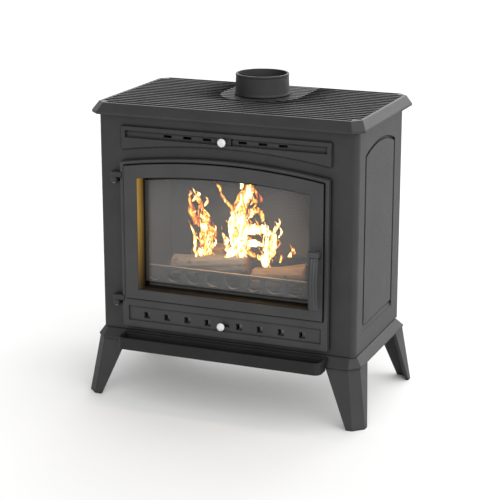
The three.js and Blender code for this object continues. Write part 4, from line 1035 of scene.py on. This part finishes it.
for name, spine, half_width, layers, material in TONGUES:
    from_grid("flame_" + name,
              tongue(spine, half_width, TONGUE_DEPTH, flame_y + layers * LAYER),
              "body", material)
print("flame tongues:", len(TONGUES))

# %% [markdown]
# Small wisps break away at the sides of the larger tongues. WISPS says how many each tongue
# sheds; where they start, how far they reach and how they bend is drawn at random, with a
# fixed seed so that the fire is the same each time.

# %% Wisps torn off the tongues
WISPS = {"left_body": 9, "main_column": 11, "main_left": 6, "main_crown": 6, "arm": 5,
         "right_body": 8, "left_tip": 4, "strand": 3}
WISP_HEATS = [warm_flame, warm_flame, cool_flame, hot_flame]
WISP_ROWS, WISP_COUNT, WISP_DEPTH = 24, 12, 0.3


def wisp_path(rng, spine, half_width):
    """Three points that leave the spine's side and bend back while they rise."""
    share = rng.uniform(0.05, 0.85) * (len(spine) - 1)
    knot = int(share)
    root = spine[knot] + (share % 1) * (spine[knot + 1] - spine[knot])
    side = rng.choice([-1, 1])
    root = root + [side * half_width * rng.uniform(0.5, 1.0), 0.0]
    length = rng.uniform(0.020, 0.058)
    bend = side * length * rng.uniform(0.0, 0.55)
    return [root, root + [bend * 0.7, length * 0.5], root + [bend * 0.6, length]]


def shed_wisps():
    """Adds the wisps of every tongue in turn and returns how many there are."""
    rng = np.random.default_rng(11)
    count = 0
    for name, spine, half_width, _, _ in TONGUES:
        for _ in range(WISPS.get(name, 0)):
            path = wisp_path(rng, np.array(spine), half_width)
            shape = tongue(path, rng.uniform(0.0028, 0.0062), WISP_DEPTH,
                           flame_y + rng.uniform(-0.012, 0.010), WISP_ROWS, WISP_COUNT)
            from_grid(f"flame_wisp_{count}", shape, "body", rng.choice(WISP_HEATS))
            count += 1
    return count


print("wisps:", shed_wisps())

# %% [markdown]
# ## The floor
# The stove stands on a plain pale floor. It runs on for hundreds of metres, so that no dark
# band shows between its edge and the sky when the camera is low.

# %% Floor
FLOOR = 400.0
floor_mesh = bpy.data.meshes.new("pale_floor")
floor_mesh.from_pydata([(-FLOOR, -FLOOR, 0), (FLOOR, -FLOOR, 0), (FLOOR, FLOOR, 0),
                        (-FLOOR, FLOOR, 0)], [], [(0, 1, 2, 3)])
floor = bpy.data.objects.new("pale_floor", floor_mesh)
bpy.context.scene.collection.objects.link(floor)
floor_finish, floor_tree, floor_shader = finish("pale_floor", 0.9, specular=0.1)
floor_place = add(floor_tree, "ShaderNodeTexCoord").outputs["Object"]
floor_tree.links.new(ramp(floor_tree, noise(floor_tree, floor_place, 3.0), [
    (0.3, (0.77, 0.77, 0.765)), (0.7, (0.78, 0.78, 0.775))]),
    floor_shader.inputs["Base Color"])
floor_mesh.materials.append(floor_finish)
print("floor reaches out by metres:", FLOOR)

# %% [markdown]
# ## The room's light
# A studio lights dark iron with large pale panels, since a black object shows little but
# what it reflects. The sky is a dim white, and each panel is a soft round patch of it that
# is brightest at its middle: a bearing, a height and a strength. Bearings go round from the
# front (0) by the right (90) to the back (180). The strong panels behind and to the right
# make the flat tops and the right side lighter than the front.

# %% Room light
world = bpy.data.worlds.new("white_room")
world.use_nodes = True
sky_tree = world.node_tree
sky = sky_tree.nodes["Background"]
sky.inputs["Color"].default_value = (1.0, 1.0, 1.0, 1.0)
outlook = add(sky_tree, "ShaderNodeTexCoord").outputs["Generated"]
SKY_PANELS = [(0, 5, 1.7), (150, 6, 1.5), (200, 14, 2.3), (45, 9, 1.0), (75, 45, 1.75),
              (180, 45, 0.5)]
SKY_DIM, PANEL_RIM, PANEL_CORE = 0.10, 0.60, 0.92
brightness = SKY_DIM
for bearing, height, strength in SKY_PANELS:
    bearing, height = math.radians(bearing), math.radians(height)
    facing = add(sky_tree, "ShaderNodeVectorMath", {"operation": "DOT_PRODUCT"}, _0=outlook,
                 _1=(math.sin(bearing) * math.cos(height),
                     -math.cos(bearing) * math.cos(height), math.sin(height)))
    panel = add(sky_tree, "ShaderNodeMapRange", {"interpolation_type": "SMOOTHSTEP"},
                Value=facing.outputs["Value"], From_Min=PANEL_RIM, From_Max=PANEL_CORE,
                To_Max=strength)
    brightness = sums(sky_tree, "ADD", panel.outputs[0], brightness)
sky_tree.links.new(brightness, sky.inputs["Strength"])
bpy.context.scene.world = world
bpy.context.scene.view_settings.view_transform = "Standard"
print("sky panels:", len(SKY_PANELS))

# %% [markdown]
# One real lamp stands to the right as a window, for a soft shadow with a direction. Three
# small warm ones in the firebox stand for the fire's own light, because the glow of thin
# flames lights the logs unevenly and with grain: one lamp in the fire, one low behind the
# guard, and a strip above for the front of the logs. The camera sees none of the three.

# %% Lamps
def lamp(name, kind, power, colour, **settings):
    """A new lamp object with its power in watts and its colour."""
    data = bpy.data.lights.new(name, kind)
    data.energy, data.color = power, colour
    for key, value in settings.items():
        setattr(data, key, value)
    piece = bpy.data.objects.new(name, data)
    bpy.context.scene.collection.objects.link(piece)
    return piece


def aimed(place, target):
    """A turn and a move that put a lamp at place with its beam towards target."""
    place, target = Vector(place), Vector(target)
    return Matrix.Translation(place) @ (
        target - place).to_track_quat("-Z", "Y").to_matrix().to_4x4()


window_right = lamp("window_right", "AREA", 12.0, (1.0, 1.0, 1.0), shape="SQUARE", size=1.4)
window_right.matrix_world = aimed((3.2, 1.0, 1.4), (0.2, 0.0, 0.45))

fire_glow = lamp("fire_glow", "POINT", 0.9, (1.0, 0.62, 0.30), shadow_soft_size=0.05)
fire_glow.location = (0.02, first_y + 0.03, 0.50)
low_glow = lamp("fire_glow_low", "POINT", 0.12, (1.0, 0.62, 0.34), shadow_soft_size=0.02)
low_glow.location = (-0.02, guard_back + 0.012, guard_top - 0.050)
front_glow = lamp("fire_glow_front", "AREA", 1.1, (1.0, 0.80, 0.60), shape="RECTANGLE",
                  size=0.40, size_y=0.03)
front_glow.matrix_world = aimed((0.0, glass_high.y + 0.018, 0.575), (0.0, first_y, 0.36))
for glow in (fire_glow, low_glow, front_glow):
    glow.visible_camera = False
